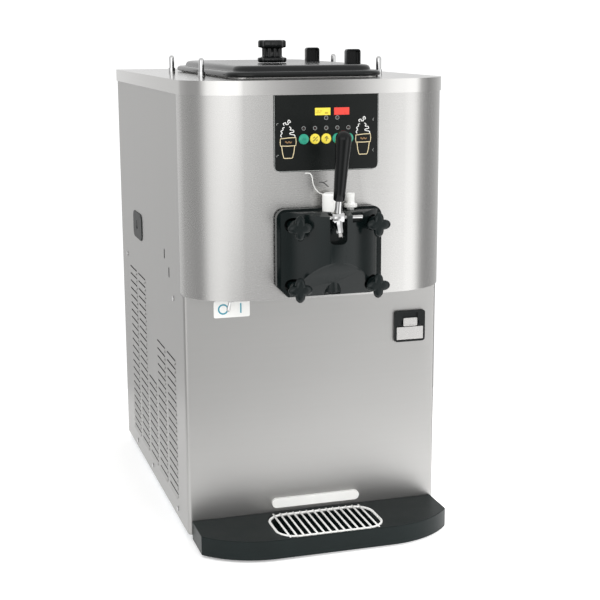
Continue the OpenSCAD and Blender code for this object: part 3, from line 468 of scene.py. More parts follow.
def outline(low, high, radius, steps):
    """Plan points of a rectangle with round corners, anticlockwise."""
    points = []
    for cx, cy, start in ((high[0] - radius, high[1] - radius, 0),
                          (low[0] + radius, high[1] - radius, 90),
                          (low[0] + radius, low[1] + radius, 180),
                          (high[0] - radius, low[1] + radius, 270)):
        for i in range(steps + 1):
            turn = math.radians(start + 90 * i / steps)
            points.append((cx + radius * math.cos(turn), cy + radius * math.sin(turn)))
    return points


def smooth_path(points, parts):
    """A curve through points, as closer points."""
    found = []
    last = len(points) - 1
    for i in range(last):
        around = (points[max(i - 1, 0)], points[i], points[i + 1], points[min(i + 2, last)])
        for k in range(parts):
            t = k / parts
            found.append(tuple(
                0.5 * (2 * b + (c - a) * t + (2 * a - 5 * b + 4 * c - d) * t * t
                       + (3 * b - a - 3 * c + d) * t ** 3)
                for a, b, c, d in zip(*around)))
    found.append(tuple(points[-1]))
    return found


class Face:
    """A front surface that print lies on: flat, or bowed to a radius about x = 0."""

    HALF_PRINT = 0.00012

    def __init__(self, front, radius=0.0):
        self.front = front
        self.radius = radius

    def at(self, x, z, lift):
        sag = self.radius - math.sqrt(self.radius ** 2 - x * x) if self.radius else 0.0
        return Vector((x, self.front + sag - lift, z))

    def line(self, mesh, points, width, closed=False):
        """A printed line of even width through (x, z) points."""
        count = len(points)
        corners = ((-1, -1), (1, -1), (1, 1), (-1, 1))
        rings = []
        for i, (x, z) in enumerate(points):
            ahead = points[(i + 1) % count] if closed or i + 1 < count else (x, z)
            behind = points[i - 1] if closed or i else (x, z)
            run = Vector((ahead[0] - behind[0], ahead[1] - behind[1]))
            across = Vector((-run.y, run.x)).normalized() * width / 2
            rings.append([self.at(x + u * across.x, z + u * across.y, v * self.HALF_PRINT)
                          for u, v in corners])
        if closed:
            ring_loop(mesh, rings)
        else:
            ring_stack(mesh, rings)

    def block(self, mesh, x, z, wide, tall, thick):
        """A printed rectangle about the point (x, z)."""
        corners = [(x + u * wide / 2, z + v * tall / 2)
                   for u, v in ((-1, -1), (1, -1), (1, 1), (-1, 1))]
        ring_stack(mesh, [[self.at(*corner, lift) for corner in corners]
                          for lift in (-thick, thick)])


def circle(cx, cz, radius, steps, start=0.0, sweep=360.0):
    """Points of a circle, or of an arc with both its ends."""
    whole = sweep >= 360.0
    return [(cx + radius * math.cos(math.radians(start + sweep * i / steps)),
             cz + radius * math.sin(math.radians(start + sweep * i / steps)))
            for i in range(steps if whole else steps + 1)]


def middle(node):
    """The middle of a node's box."""
    low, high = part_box(node)
    return (low + high) / 2


# ---- Values a user may change ----

class FreezerSizes(PropertyGroup):
    """Sizes of the fine pieces."""
    key_dome: FloatProperty(
        name="Key dome", description="How far the middle of a key stands above its rim",
        default=0.0012, min=0.0, unit="LENGTH", subtype="DISTANCE")
    cup_height: FloatProperty(
        name="Cup picture", description="Height of the cup pictures on the control panel",
        default=0.064, min=0.01, unit="LENGTH", subtype="DISTANCE")


def colour_value(name, use, default):
    """A colour that a user may change."""
    return FloatVectorProperty(name=name, description="Colour of the " + use, default=default,
                               min=0.0, max=1.0, subtype="COLOR")


class FreezerColours(PropertyGroup):
    """Colours of the finishes."""
    steel: colour_value("Steel", "stainless sheets", (0.50, 0.495, 0.485))
    black: colour_value("Black plastic", "lid, grip and satin pieces", (0.012, 0.014, 0.0145))
    film: colour_value("Control film", "film on the control panel", (0.010, 0.013, 0.012))
    green: colour_value("Green keys", "green keys", (0.015, 0.26, 0.17))
    yellow: colour_value("Yellow keys", "yellow keys and wide window", (0.66, 0.54, 0.05))
    red: colour_value("Red window", "red window", (0.62, 0.045, 0.03))


def finish_all(colours):
    """Makes every material once."""
    steel = tuple(colours.steel)
    black = tuple(colours.black)
    yellow = tuple(colours.yellow)
    brushed_steel("front_steel", steel, rough=0.27, grain="X")
    # The side and lower front sheets take the steel's colour darkened, as painted shade, and the
    # cap takes it lightened, as painted light.
    brushed_steel("side_steel", shade(steel, 0.86), rough=0.42, grain="Z")
    brushed_steel("low_steel", shade(steel, 0.8), rough=0.38, grain="X")
    brushed_steel("cap_steel", shade(steel, 1.12), rough=0.16, grain="X", contrast=0.6)
    brushed_steel("inner_steel", steel, rough=0.35, grain="Y")
    bright_metal("chrome", (0.60, 0.60, 0.60), rough=0.1)
    bright_metal("worn_steel", (0.55, 0.54, 0.53), rough=0.24)
    bright_metal("aluminium", (0.62, 0.63, 0.64), rough=0.38, scale=240.0)
    zinc("galvanised", (0.52, 0.54, 0.56))
    moulded("gloss_black", (0.003, 0.006, 0.006), rough=0.2, grain=0.00001,
            scale=500.0, level=0.26)
    moulded("satin_black", shade(black, 0.6), rough=0.42, grain=0.00006, scale=700.0, level=0.2)
    moulded("tray_black", (0.005, 0.009, 0.009), rough=0.36, grain=0.00008,
            scale=600.0, level=0.17)
    moulded("lid_black", shade(black, 0.35), rough=0.16, grain=0.00001, scale=400.0, level=0.32)
    moulded("grip_black", shade(black, 0.3), rough=0.14, grain=0.00001, scale=500.0, level=0.22)
    moulded("shadow_black", (0.004, 0.004, 0.004), rough=0.9, grain=0.00001,
            scale=300.0, level=0.02)
    moulded("rubber", (0.02, 0.02, 0.02), rough=0.7, grain=0.0001, scale=500.0, level=0.3)
    moulded("white_plastic", (0.78, 0.78, 0.76), rough=0.32, grain=0.00002,
            scale=600.0, spread=0.04)
    moulded("white_coating", (0.82, 0.82, 0.80), rough=0.28, grain=0.00004,
            scale=300.0, spread=0.04)
    film("control_film", shade(colours.film, 0.4), rough=0.24, level=0.2)
    # The two windows get a painted glow.
    film("yellow_film", yellow, rough=0.3, glow=0.15)
    film("red_film", tuple(colours.red), rough=0.3, glow=0.15)
    film("green_key", tuple(colours.green), rough=0.3)
    film("yellow_key", yellow, rough=0.3)
    film("smoked_lens", (0.03, 0.02, 0.02), rough=0.15)
    foam_rubber("foam", (0.06, 0.06, 0.06))
    board("circuit_board", (0.01, 0.10, 0.03))
    painted("black_paint", (0.02, 0.02, 0.022))
    painted("grey_paint", (0.20, 0.21, 0.22))
    for ink, colour in (
            ("white", (0.72, 0.72, 0.70)), ("grey", (0.30, 0.31, 0.30)),
            ("gold", (0.62, 0.52, 0.32)), ("blue", (0.03, 0.27, 0.36)),
            ("dark", (0.03, 0.03, 0.03)), ("brown", (0.30, 0.17, 0.07)),
            ("teal", (0.01, 0.16, 0.12)), ("olive", (0.42, 0.30, 0.02))):
        film("print_" + ink, colour, rough=0.4)


# The nodes of the frame by the material that they are made of.
NODES_OF = {
    "galvanised": ("base_pan", "inner_frame", "control_box"),
    "rubber": ("rubber_feet", "door_gasket"),
    # The shaded and lit steels are one steel, painted darker or lighter for the light that falls
    # on it.
    "side_steel": ("left_side_panel", "right_side_panel", "rear_panel"),
    "low_steel": ("lower_front_panel",),
    "front_steel": ("upper_front_panel",),
    "cap_steel": ("top_cap",),
    "chrome": ("locating_pins", "panel_screws", "toggle_bush", "door_studs", "pivot_pin",
               "draw_arm", "toggle_lever"),
    "satin_black": ("side_cover_plate", "latch_housing", "cord_gland"),
    "control_film": ("control_panel",),
    "yellow_film": ("yellow_window",),
    "red_film": ("red_window",),
    "smoked_lens": ("indicator_lenses",),
    "circuit_board": ("switch_board",),
    "white_plastic": ("off_on_label", "draw_valve", "prime_plug", "mix_feed_tube", "drip_pan",
                      "scraper_blades"),
    "inner_steel": ("hopper", "freezing_cylinder", "beater"),
    "foam": ("cylinder_insulation",),
    "gloss_black": ("freezer_door", "nozzle_cap", "hand_screw_1", "hand_screw_2",
                    "hand_screw_3", "hand_screw_4"),
    "black_paint": ("compressor", "fan_shroud"),
    "aluminium": ("condenser", "fan_blade"),
    "grey_paint": ("fan_motor", "gear_motor"),
    "grip_black": ("draw_grip",),
    "worn_steel": ("adjusting_screw", "latch_flap"),
    "green_key": ("key_1", "key_4", "key_5"),
    "yellow_key": ("key_2", "key_3"),
    "lid_black": ("hopper_lid", "lid_knob"),
    "tray_black": ("drip_tray",),
    "white_coating": ("tray_grate",),
}
MATERIAL_OF = {node: material for material, nodes in NODES_OF.items() for node in nodes}

# Widths of the rounded edges, in metres. The cap's edges stay as they are, because rounding
# them draws a face across the opening over the hopper.
REFINED = {
    "lower_front_panel": 0.0010, "upper_front_panel": 0.0011, "top_cap": 0.0,
    "rear_panel": 0.0008, "freezer_door": 0.0016, "drip_tray": 0.0018,
    "nozzle_cap": 0.0012, "side_cover_plate": 0.0012, "latch_housing": 0.0007,
    "latch_flap": 0.0004, "draw_valve": 0.0008, "prime_plug": 0.0008, "drip_pan": 0.0010,
    "control_panel": 0.0004, "toggle_bush": 0.0004, "pivot_pin": 0.0006,
    "adjusting_screw": 0.0004, "rubber_feet": 0.0015, "cord_gland": 0.0006,
    "panel_screws": 0.0004, "door_studs": 0.0006, "off_on_label": 0.0002,
}


class FREEZER_OT_finishes(Operator):
    """Makes the materials and puts them on the nodes of the frame"""
    bl_idname = "freezer.finishes"
    bl_label = "Finishes"

    def execute(self, context):
        finish_all(context.scene.freezer_colours)
        for node, material in MATERIAL_OF.items():
            mesh = frame["nodes"][node].data
            mesh.materials.clear()
            mesh.materials.append(materials[material])
        return {"FINISHED"}


class FREEZER_OT_rounded_parts(Operator):
    """Rounds the edges of the sheets and moulded parts that are seen"""
    bl_idname = "freezer.rounded_parts"
    bl_label = "Rounded parts"

    def execute(self, context):
        for node, width in REFINED.items():
            refine(node, width)
        return {"FINISHED"}


class FREEZER_OT_lid(Operator):
    """Builds the lid with its two rounded steps, its lugs and its fluted knob"""
    bl_idname = "freezer.lid"
    bl_label = "Lid and knob"

    def execute(self, context):
        low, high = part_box("hopper_lid")
        seal = 0.0015
        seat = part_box("top_cap")[1].z + seal
        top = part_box("lid_knob")[0].z
        rise = top - seat
        corner, least_corner = 0.042, 0.012
        # Heights above the seat, and how far the skin is set in there: the lip that drops
        # into the cap, the rim, the crown's wall, its rounded edge and its hollow top.
        steps = ((-0.0065, 0.034), (-0.0065, 0.0295), (-0.0002, 0.029), (0.0, 0.003),
                 (0.0012, 0.0010), (0.0032, 0.0), (0.0062, 0.0004), (0.0084, 0.0022),
                 (0.0096, 0.0050), (0.0098, 0.0090), (0.0094, 0.0132), (0.0100, 0.0150),
                 (0.0124, 0.0158), (rise - 0.0058, 0.0162), (rise - 0.0028, 0.0178),
                 (rise - 0.0008, 0.0212), (rise, 0.0265), (rise - 0.0003, 0.034),
                 (rise - 0.0010, 0.07), (rise - 0.0012, 0.1))
        mesh = bmesh.new()
        rings = []
        for lift, inset in steps:
            radius = max(corner - inset * 0.45, least_corner)
            plan = outline((low.x + inset, low.y + inset), (high.x - inset, high.y - inset),
                           radius, 10)
            rings.append([Vector((x, y, seat + lift)) for x, y in plan])
        ring_stack(mesh, rings)
        self.lugs(mesh, low, high, top)
        lid = publish("lid_shell", mesh, "lid_black", "hopper_lid", sharp=60.0)
        soften(lid, 0.0008, 60.0)
        self.knob()
        return {"FINISHED"}

    def lugs(self, mesh, low, high, top):
        """Two hollow lugs on the right of the crown."""
        width, deep, wall, corner = 0.0275, 0.012, 0.003, 0.005
        right = high.x - 0.01125
        foot = top - 0.009
        for y in (low.y + 0.113, low.y + 0.358):
            rings = []
            for place, inset in ((y + deep / 2, 0.0), (y - deep / 2, 0.0),
                                 (y - deep / 2, wall), (y + deep / 2 - wall, wall)):
                ring = outline((right - width + inset, foot + inset),
                               (right - inset, high.z - inset), corner - inset / 2, 6)
                rings.append([Vector((x, place, z)) for x, z in ring])
            ring_stack(mesh, rings)

    def knob(self):
        """A knob with a round foot, a ribbed neck and a fluted head."""
        low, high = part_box("lid_knob")
        centre = Vector(((low.x + high.x) / 2, (low.y + high.y) / 2, low.z))
        tall = high.z - low.z
        flutes, flute_depth, neck, rib = 10, 0.0012, 0.0168, 0.0019
        # Heights above the lid and radii: the foot, the neck, the head and its hollow top.
        profile = [(-0.0002, 0.0235), (0.0006, 0.0252), (0.0022, 0.0262), (0.0062, 0.0266),
                   (0.0082, 0.0256), (0.0092, 0.0205), (0.0108, 0.0178), (0.013, neck),
                   (0.0235, neck), (0.0256, 0.0180), (0.0268, 0.0208), (0.0276, 0.0246),
                   (0.0290, 0.0254), (tall - 0.0032, 0.0254), (tall - 0.0012, 0.0244),
                   (tall - 0.0002, 0.0222), (tall - 0.0002, 0.0185), (tall - 0.0012, 0.0165),
                   (tall - 0.0014, 0.004)]
        mesh = bmesh.new()
        turned(mesh, profile, centre, (0, 0, 1), 120, (flutes, flute_depth, 0.0172))
        for i in range(flutes):
            turn = 2 * math.pi * (i + 0.5) / flutes
            side = Vector((math.cos(turn), math.sin(turn), 0)) * neck
            ends = [centre + side + Vector((0, 0, z)) for z in (0.0098, 0.0255)]
            tube(mesh, ends, rib, 10)
        publish("knob_fluted", mesh, "lid_black", "lid_knob", sharp=50.0)


class FREEZER_OT_draw_handle(Operator):
    """Builds the plated arm and the moulded grip of the draw handle"""
    bl_idname = "freezer.draw_handle"
    bl_label = "Draw handle"

    def execute(self, context):
        pin = middle("pivot_pin")
        pivot = Vector((0.0, pin.y, pin.z))
        lean = math.radians(12.6)
        up = Vector((0, -math.sin(lean), math.cos(lean)))
        self.arm(pivot, up)
        self.grip(pivot, up)
        return {"FINISHED"}

    def arm(self, pivot, up):
        """A hub on the pivot, a neck up to the grip, a lug below and a finger behind."""
        toe = math.radians(25.9)
        down = Vector((0, -math.sin(toe), -math.cos(toe)))
        finger = 0.0030
        arm = bmesh.new()
        hub = [(-0.0108, 0.0058), (-0.0105, 0.0078), (-0.0085, 0.0099), (-0.0045, 0.0108),
               (0.0, 0.0110), (0.0045, 0.0108), (0.0085, 0.0099), (0.0105, 0.0078),
               (0.0108, 0.0058)]
        turned(arm, hub, pivot, (1, 0, 0), 16)
        neck = [(0.002, 0.0070), (0.0098, 0.0066), (0.0125, 0.0062), (0.0155, 0.0060),
                (0.0185, 0.0058), (0.028, 0.0057), (0.0312, 0.0057)]
        turned(arm, neck, pivot, up, 32)
        lug = [(0.002, 0.0084), (0.0080, 0.0080), (0.0120, 0.0068), (0.0160, 0.0062),
               (0.0255, 0.0058), (0.0275, 0.0052)]
        turned(arm, lug, pivot, down, 8)
        tip = Vector((0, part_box("draw_arm")[1].y - 0.004, pivot.z))
        tube(arm, [pivot + Vector((0, 0.004, 0)), tip], finger, 12)
        button = [(-0.0040, finger), (-0.0032, 0.0038), (0.0032, 0.0038), (0.0040, finger)]
        turned(arm, button, tip, (1, 0, 0), 24)
        publish("arm_forged", arm, "chrome", "draw_arm", sharp=28.0)

    def grip(self, pivot, up):
        """A grip that widens upwards and ends in a dome."""
        widest, dome, start = 0.0130, 0.012, 0.0300
        reach = (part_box("draw_grip")[1].z - pivot.z - dome) / up.z
        profile = [(start, 0.0070), (start + 0.0003, 0.0088), (start + 0.0014, 0.0096),
                   (start + 0.03, 0.0103), (start + 0.065, 0.0114), (reach - 0.016, 0.0127),
                   (reach - 0.005, widest)]
        for i in range(11):
            turn = math.radians(90 * i / 10)
            profile.append((reach + dome * math.sin(turn),
                            max(widest * math.cos(turn), 0.0006)))
        grip = bmesh.new()
        turned(grip, profile, pivot, up, 40)
        publish("grip_moulded", grip, "grip_black", "draw_grip", sharp=50.0)


class FREEZER_OT_control_panel(Operator):
    """Builds the print, the domed keys and the lamp rings of the control panel"""
    bl_idname = "freezer.control_panel"
    bl_label = "Control panel"

    def execute(self, context):
        bow = 1.6375
        self.low, self.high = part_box("control_panel")
        self.face = Face(self.low.y - 0.00005, bow)
        self.border()
        self.cups(context.scene.freezer_sizes.cup_height)
        self.keys(context.scene.freezer_sizes.key_dome)
        self.lamp_rings()
        self.window_marks()
        return {"FINISHED"}

    def ink(self, name, mesh, material):
        publish(name, mesh, material, "control_panel", replaces=False)

    def border(self):
        """The pale line just inside the edge of the film, and short arcs beside it."""
        inset, corner = 0.0011, 0.0075
        low, high = self.low, self.high
        left, right, foot, head = low.x + inset, high.x - inset, low.z + inset, high.z - 0.0005
        path = [(left, head), (left, foot + corner)]
        path += circle(left + corner, foot + corner, corner, 8, 180, 90)
        path += [(low.x * (1 - i / 6) + high.x * i / 6, foot) for i in range(1, 6)]
        path += circle(right - corner, foot + corner, corner, 8, 270, 90)
        path += [(right, head)]
        mesh = bmesh.new()
        self.face.line(mesh, path, 0.0007)
        arcs = ((low.x + 0.007, low.z + 0.078, 60), (low.x + 0.007, low.z + 0.026, 60),
                (high.x - 0.008, low.z + 0.083, 100), (high.x - 0.008, low.z + 0.032, 100))
        for x, z, start in arcs:
            self.face.line(mesh, circle(x, z, 0.0022, 8, start, 150), 0.0006)
        self.ink("film_border", mesh, "print_grey")

    def cups(self, tall):
        """A cup with a swirl, drawn in line, at each side of the keys."""
        drawn_height, stroke = 0.064, 0.0013
        scale = tall / drawn_height * MM
        # Drawn in millimetres from the middle of the cup's base.
        rim = ((-13, 20.6), (-13.4, 26), (-13, 32.3), (0, 33.6), (13, 33.9), (13.6, 27),
               (13, 20.8), (0, 20.2))
        wall = ((-11, 20), (-9.6, 9), (-7.6, 1.2), (-6.6, 0.2), (6.4, 0.2), (7.4, 1.2),
                (9.6, 9), (11, 20))
        waves = [(-5 + 11 * i / 8, 26.4 + 1.3 * math.sin(i * 1.7)) for i in range(9)]
        swirl_left = ((-11, 35), (-12.5, 38), (-10, 41.5), (-12, 44.5), (-8.5, 47),
                      (-9, 49.5), (-6, 51))
        swirl_right = ((11.5, 34.5), (11, 38), (4, 39.5), (3.4, 41.6), (9.5, 43), (8.5, 46),
                       (3.5, 46.6), (5, 49.6), (2, 52))
        swirl_tip = ((-6.4, 54), (-8, 57), (-4, 58.4), (-3.4, 55.6), (0.5, 56), (-0.5, 60),
                     (1.5, 62.6), (4, 59.6), (1.8, 58))
        for side, centre, base in (("left", -0.067, self.low.z + 0.0225),
                                   ("right", 0.0635, self.low.z + 0.0255)):

            def spots(points):
                return [(centre + u * scale, base + v * scale) for u, v in points]

            cup = bmesh.new()
            self.face.line(cup, spots(rim), stroke, True)
            self.face.line(cup, spots(wall), stroke)
            self.ink(f"cup_{side}", cup, "print_gold")
            band = bmesh.new()
            self.face.line(band, smooth_path(spots(waves), 3), 0.0012)
            self.ink(f"cup_band_{side}", band, "print_brown")
            swirl = bmesh.new()
            for path in (swirl_left, swirl_right, swirl_tip):
                self.face.line(swirl, smooth_path(spots(path), 5), stroke)
            self.ink(f"swirl_{side}", swirl, "print_white")

    def keys(self, dome):
        """Domed keys, each with a plain sign drawn in millimetres from its middle."""
        signs = {
            "key_1": ("print_teal", [[(-3, -1.6), (-1, 1.8), (1, -1.8), (3, 1.6)]]),
            "key_2": ("print_dark", [[(-4, -3.8), (4, 3.8)], [(-3.6, 1.2), (-1, 3.6)],
                                     [(1.2, -3.4), (3.8, -1)]]),
            "key_3": ("print_dark", [[(-1, -4), (0.6, 0.8), (3.2, 0.2)],
                                     [(0.6, 0.8), (0.2, 3.8), (-3, 0.6)]]),
            "key_4": ("print_teal", [[(-3, 0), (0, 3), (3, 0), (0, -3), (-3, 0)]]),
            "key_5": ("print_teal", [[(-2.6, 2.6), (2.6, -2.6)], [(-2.6, -2.6), (2.6, 2.6)]]),
        }
        flat = 0.975
        half_stroke, sunk, proud = 0.0006, 0.0003, 0.00012
        for name, (ink, strokes) in signs.items():
            low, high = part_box(name)
            centre = (low + high) / 2
            radius = (high.x - low.x) / 2
            back = Vector((centre.x, high.y, centre.z))
            deep = high.y - low.y
            rim = deep - 0.0006

            def stand(share):
                """Height of the dome at this share of the way from its rim to its middle."""
                return rim + dome * (1 - (1 - share) ** 2)

            cap = [(0.0, radius), (deep - 0.0011, radius), (rim, radius * flat)]
            for i in range(1, 9):
                cap.append((stand(i / 8), max(radius * flat * (1 - i / 8), 0.0003)))
            mesh = bmesh.new()
            turned(mesh, cap, back, (0, -1, 0), 48)
            publish(name + "_dome", mesh, MATERIAL_OF[name], name, sharp=60.0)
            sign = bmesh.new()
            for stroke in strokes:
                path = smooth_path([(centre.x + u * MM, centre.z + v * MM)
                                    for u, v in stroke], 4)
                rings = []
                for i, (x, z) in enumerate(path):
                    share = 1 - math.hypot(x - centre.x, z - centre.z) / (radius * flat)
                    out = back.y - stand(share)
                    ahead = path[min(i + 1, len(path) - 1)]
                    behind = path[max(i - 1, 0)]
                    run = Vector((ahead[0] - behind[0], ahead[1] - behind[1]))
                    side = Vector((-run.y, run.x)).normalized() * half_stroke
                    rings.append([Vector((x + k * side.x, out - lift, z + k * side.y))
                                  for k, lift in ((-1, -sunk), (1, -sunk), (1, proud),
                                                  (-1, proud))])
                ring_stack(sign, rings)
            publish(name + "_sign", sign, ink, name, replaces=False)

    def lamp_rings(self):
        """A printed ring round the lamp above each key, and round two more lamps."""
        first_row, second_row = 0.0176, 0.0342
        keys = [middle(f"key_{i}") for i in range(1, 6)]
        lamps = [(key.x, key.z + first_row) for key in keys]
        lamps += [(key.x, key.z + second_row) for key in keys[2:4]]
        rings = bmesh.new()
        for x, z in lamps:
            self.face.line(rings, circle(x, z, 0.0030, 24), 0.0007, True)
        self.ink("lamp_rings", rings, "print_grey")

    def window_marks(self):
        """Marks on the yellow window, placed and sized by shares of it."""
        low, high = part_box("yellow_window")
        wide, tall = high.x - low.x, high.z - low.z
        face = Face(low.y - 0.0001)
        marks = bmesh.new()
        for u, v, w, h in ((0.2, 0.58, 0.14, 0.1), (0.38, 0.58, 0.1, 0.1),
                           (0.2, 0.34, 0.3, 0.07), (0.74, 0.3, 0.2, 0.22)):
            face.block(marks, low.x + u * wide, low.z + v * tall, w * wide, h * tall, 0.0002)
        self.ink("yellow_window_marks", marks, "print_olive")


class FREEZER_OT_hand_screws(Operator):
    """Builds the four hand screws with rounded lobes and a shouldered neck"""
    bl_idname = "freezer.hand_screws"
    bl_label = "Hand screws"

    STEPS = 96

    def execute(self, context):
        # Distances back from the front of the head, with the share of its reach there.
        head = ((0.0, 0.30), (0.0, 0.56), (0.0003, 0.70), (0.0011, 0.83), (0.0026, 0.94),
                (0.0046, 1.0), (0.0062, 1.0), (0.0082, 0.94), (0.0094, 0.84),
                (0.0100, 0.70), (0.0102, 0.60))
        # Distances back from the front of the head, with the radius there.
        neck = ((0.0112, 0.0118), (0.0150, 0.0106), (0.0240, 0.0102), (0.0260, 0.0112),
                (0.0285, 0.0114), (0.0300, 0.0100), (0.0304, 0.0085))
        for number in range(1, 5):
            name = f"hand_screw_{number}"
            low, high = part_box(name)
            centre = (low + high) / 2
            reach = (high.x - low.x) / 2
            shank_end = (high.y - low.y, neck[-1][1])
            rings = [self.lobed(centre, low.y + back, reach * size) for back, size in head]
            rings += [hoop(Vector((centre.x, low.y + back, centre.z)), radius, self.STEPS)
                      for back, radius in (*neck, shank_end)]
            mesh = bmesh.new()
            ring_stack(mesh, rings)
            publish(name + "_head", mesh, "gloss_black", name, sharp=50.0)
        return {"FINISHED"}

    def lobed(self, centre, depth, reach):
        """A ring with four lobes, to the right, up, left and down."""
        waist, fullness = 0.58, 0.62
        ring = []
        for i in range(self.STEPS):
            turn = 2 * math.pi * i / self.STEPS
            lobe = (0.5 + 0.5 * math.cos(4 * turn)) ** fullness
            size = reach * (waist + (1 - waist) * lobe)
            ring.append(Vector((centre.x + size * math.cos(turn), depth,
                                centre.z + size * math.sin(turn))))
        return ring


class FREEZER_OT_painted_slit_shade(Operator):
    """Paints shade in the slit above each louvre hood and in the two slots of the left side, as
    thin dark strips
    """
    bl_idname = "freezer.side_slits"
    bl_label = "Side slits"

    def execute(self, context):
        # In the frame's millimetres: the louvres fill columns from the back to the front.
        sheet_face = 232.0
        rows_by_column = (23, 23, 11, 17, 17)
        last_column, column_step, slit_length = 550.0, 96.75, 76.0
        lowest_row, row_step, slit_height = 43.6, 15.75, 2.6
        left_slots = ((162.0, 168.0, 470.0, 488.5), (122.0, 128.0, 442.0, 461.0))
        for side, panel in ((-1, "left_side_panel"), (1, "right_side_panel")):
            face = side * sheet_face
            mesh = bmesh.new()
            for column, rows in enumerate(rows_by_column):
                back = last_column - column * column_step
                for row in range(rows):
                    level = lowest_row + row * row_step
                    self.strip(mesh, face, back - slit_length, back, level,
                               level + slit_height)
            if side < 0:
                for slot in left_slots:
                    self.strip(mesh, face, *slot)
            # The strips of painted shade on each side make one piece.
            publish(panel + "_slits", mesh, "shadow_black", panel, replaces=False)
        return {"FINISHED"}

    def strip(self, mesh, x, y0, y1, z0, z1):
        """A thin dark strip with cut corners, on the face of the sheet: painted shade over an
        opening.
        """
        cut, half_thick = min(y1 - y0, z1 - z0) * 0.4, 0.15
        points = [(y0 + cut, z0), (y1 - cut, z0), (y1, z0 + cut), (y1, z1 - cut),
                  (y1 - cut, z1), (y0 + cut, z1), (y0, z1 - cut), (y0, z0 + cut)]
        ring_stack(mesh, [[mm(x - lift, y, z) for y, z in points]
                          for lift in (half_thick, -half_thick)])


class FREEZER_OT_grate(Operator):
    """Builds the coated wire grate with its rounded bar ends"""
    bl_idname = "freezer.grate"
    bl_label = "Tray grate"

    def execute(self, context):
        low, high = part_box("tray_grate")
        wire, bar = 0.0025, 0.00175
        corner, setback = 0.0335, 0.0022
        bars, bar_step = 14, 0.0124
        mesh = bmesh.new()
        loop = outline((low.x + wire, low.y + wire + setback),
                       (high.x - wire, high.y - wire - setback), corner, 12)
        tube(mesh, [Vector((x, y, low.z + wire)) for x, y in loop], wire, 14, True)
        front, back = low.y + 0.0008, high.y - 0.0008
        ends = ((front, 0.35), (front + 0.0005, 0.8), (front + 0.001, 1.0),
                (back - 0.001, 1.0), (back - 0.0005, 0.8), (back, 0.35))
        for i in range(bars):
            x = (i - (bars - 1) / 2) * bar_step
            z = low.z + wire * 1.55
            ring_stack(mesh, [hoop(Vector((x, y, z)), bar * share, 12) for y, share in ends])
        publish("grate_wires", mesh, "white_coating", "tray_grate", sharp=60.0)
        return {"FINISHED"}


class FREEZER_OT_front_signs(Operator):
    """Builds the off and on signs, the round decal and the fitting's window"""
    bl_idname = "freezer.front_signs"
    bl_label = "Signs on the front"

    def execute(self, context):
        self.off_on()
        self.decal()
        self.fitting()
        return {"FINISHED"}

    def off_on(self):
        """A ring for off and a bar for on, placed by shares of the label."""
        low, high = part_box("off_on_label")
        wide, tall = high.x - low.x, high.z - low.z
        face = Face(low.y - 0.00005)
        signs = bmesh.new()
        off = circle(low.x + wide * 0.26, low.z + tall * 0.5, 0.0080, 36)
        face.line(signs, off, 0.0026, True)
        face.block(signs, low.x + wide * 0.75, low.z + tall * 0.52, 0.0024, 0.0175,
                   Face.HALF_PRINT)
        publish("off_on_signs", signs, "print_blue", "off_on_label", replaces=False)

    def decal(self):
        """A clear decal's pale edge and small dark sign under the control panel."""
        bow = 1.636
        film_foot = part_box("control_panel")[0].z
        face = Face(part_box("upper_front_panel")[0].y - 0.00005, bow)
        # Drawn in millimetres from the middle of the control panel's lower edge.
        edge = ((-38, -3), (-30, -3.5), (-26, -9), (-24.5, -19), (-21, -28), (-14, -36),
                (-4, -40))
        stem = ((-14, -18.5), (-6, -20), (3, -27))
        branch = ((-6, -19.5), (1, -17))
        for name, ink, strokes in (
                ("decal_edge", "print_white", ((edge, 5, 0.0016),)),
                ("decal_sign", "print_dark", ((stem, 5, 0.0016), (branch, 3, 0.001)))):
            mesh = bmesh.new()
            for stroke, parts, width in strokes:
                path = [(u * MM, film_foot + v * MM) for u, v in stroke]
                face.line(mesh, smooth_path(path, parts), width)
            publish(name, mesh, ink, "upper_front_panel", replaces=False)

    def fitting(self):
        """The bright window above the flap of the flush fitting."""
        low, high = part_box("latch_housing")
        width, height, corner = 0.0265, 0.0150, 0.0022
        cx, cz = (low.x + high.x) / 2, high.z - 0.0205
        rings = []
        for out, inset in ((0.0002, 0.0), (-0.0009, 0.0), (-0.0011, 0.0003),
                           (-0.0011, 0.0018), (-0.0005, 0.0024)):
            plan = outline((cx - width / 2 + inset, cz - height / 2 + inset),
                           (cx + width / 2 - inset, cz + height / 2 - inset),
                           max(corner - inset, 0.0004), 4)
            rings.append([Vector((x, low.y + out, z)) for x, z in plan])
        mesh = bmesh.new()
        ring_stack(mesh, rings)
        publish("fitting_window", mesh, "worn_steel", "latch_housing", replaces=False)


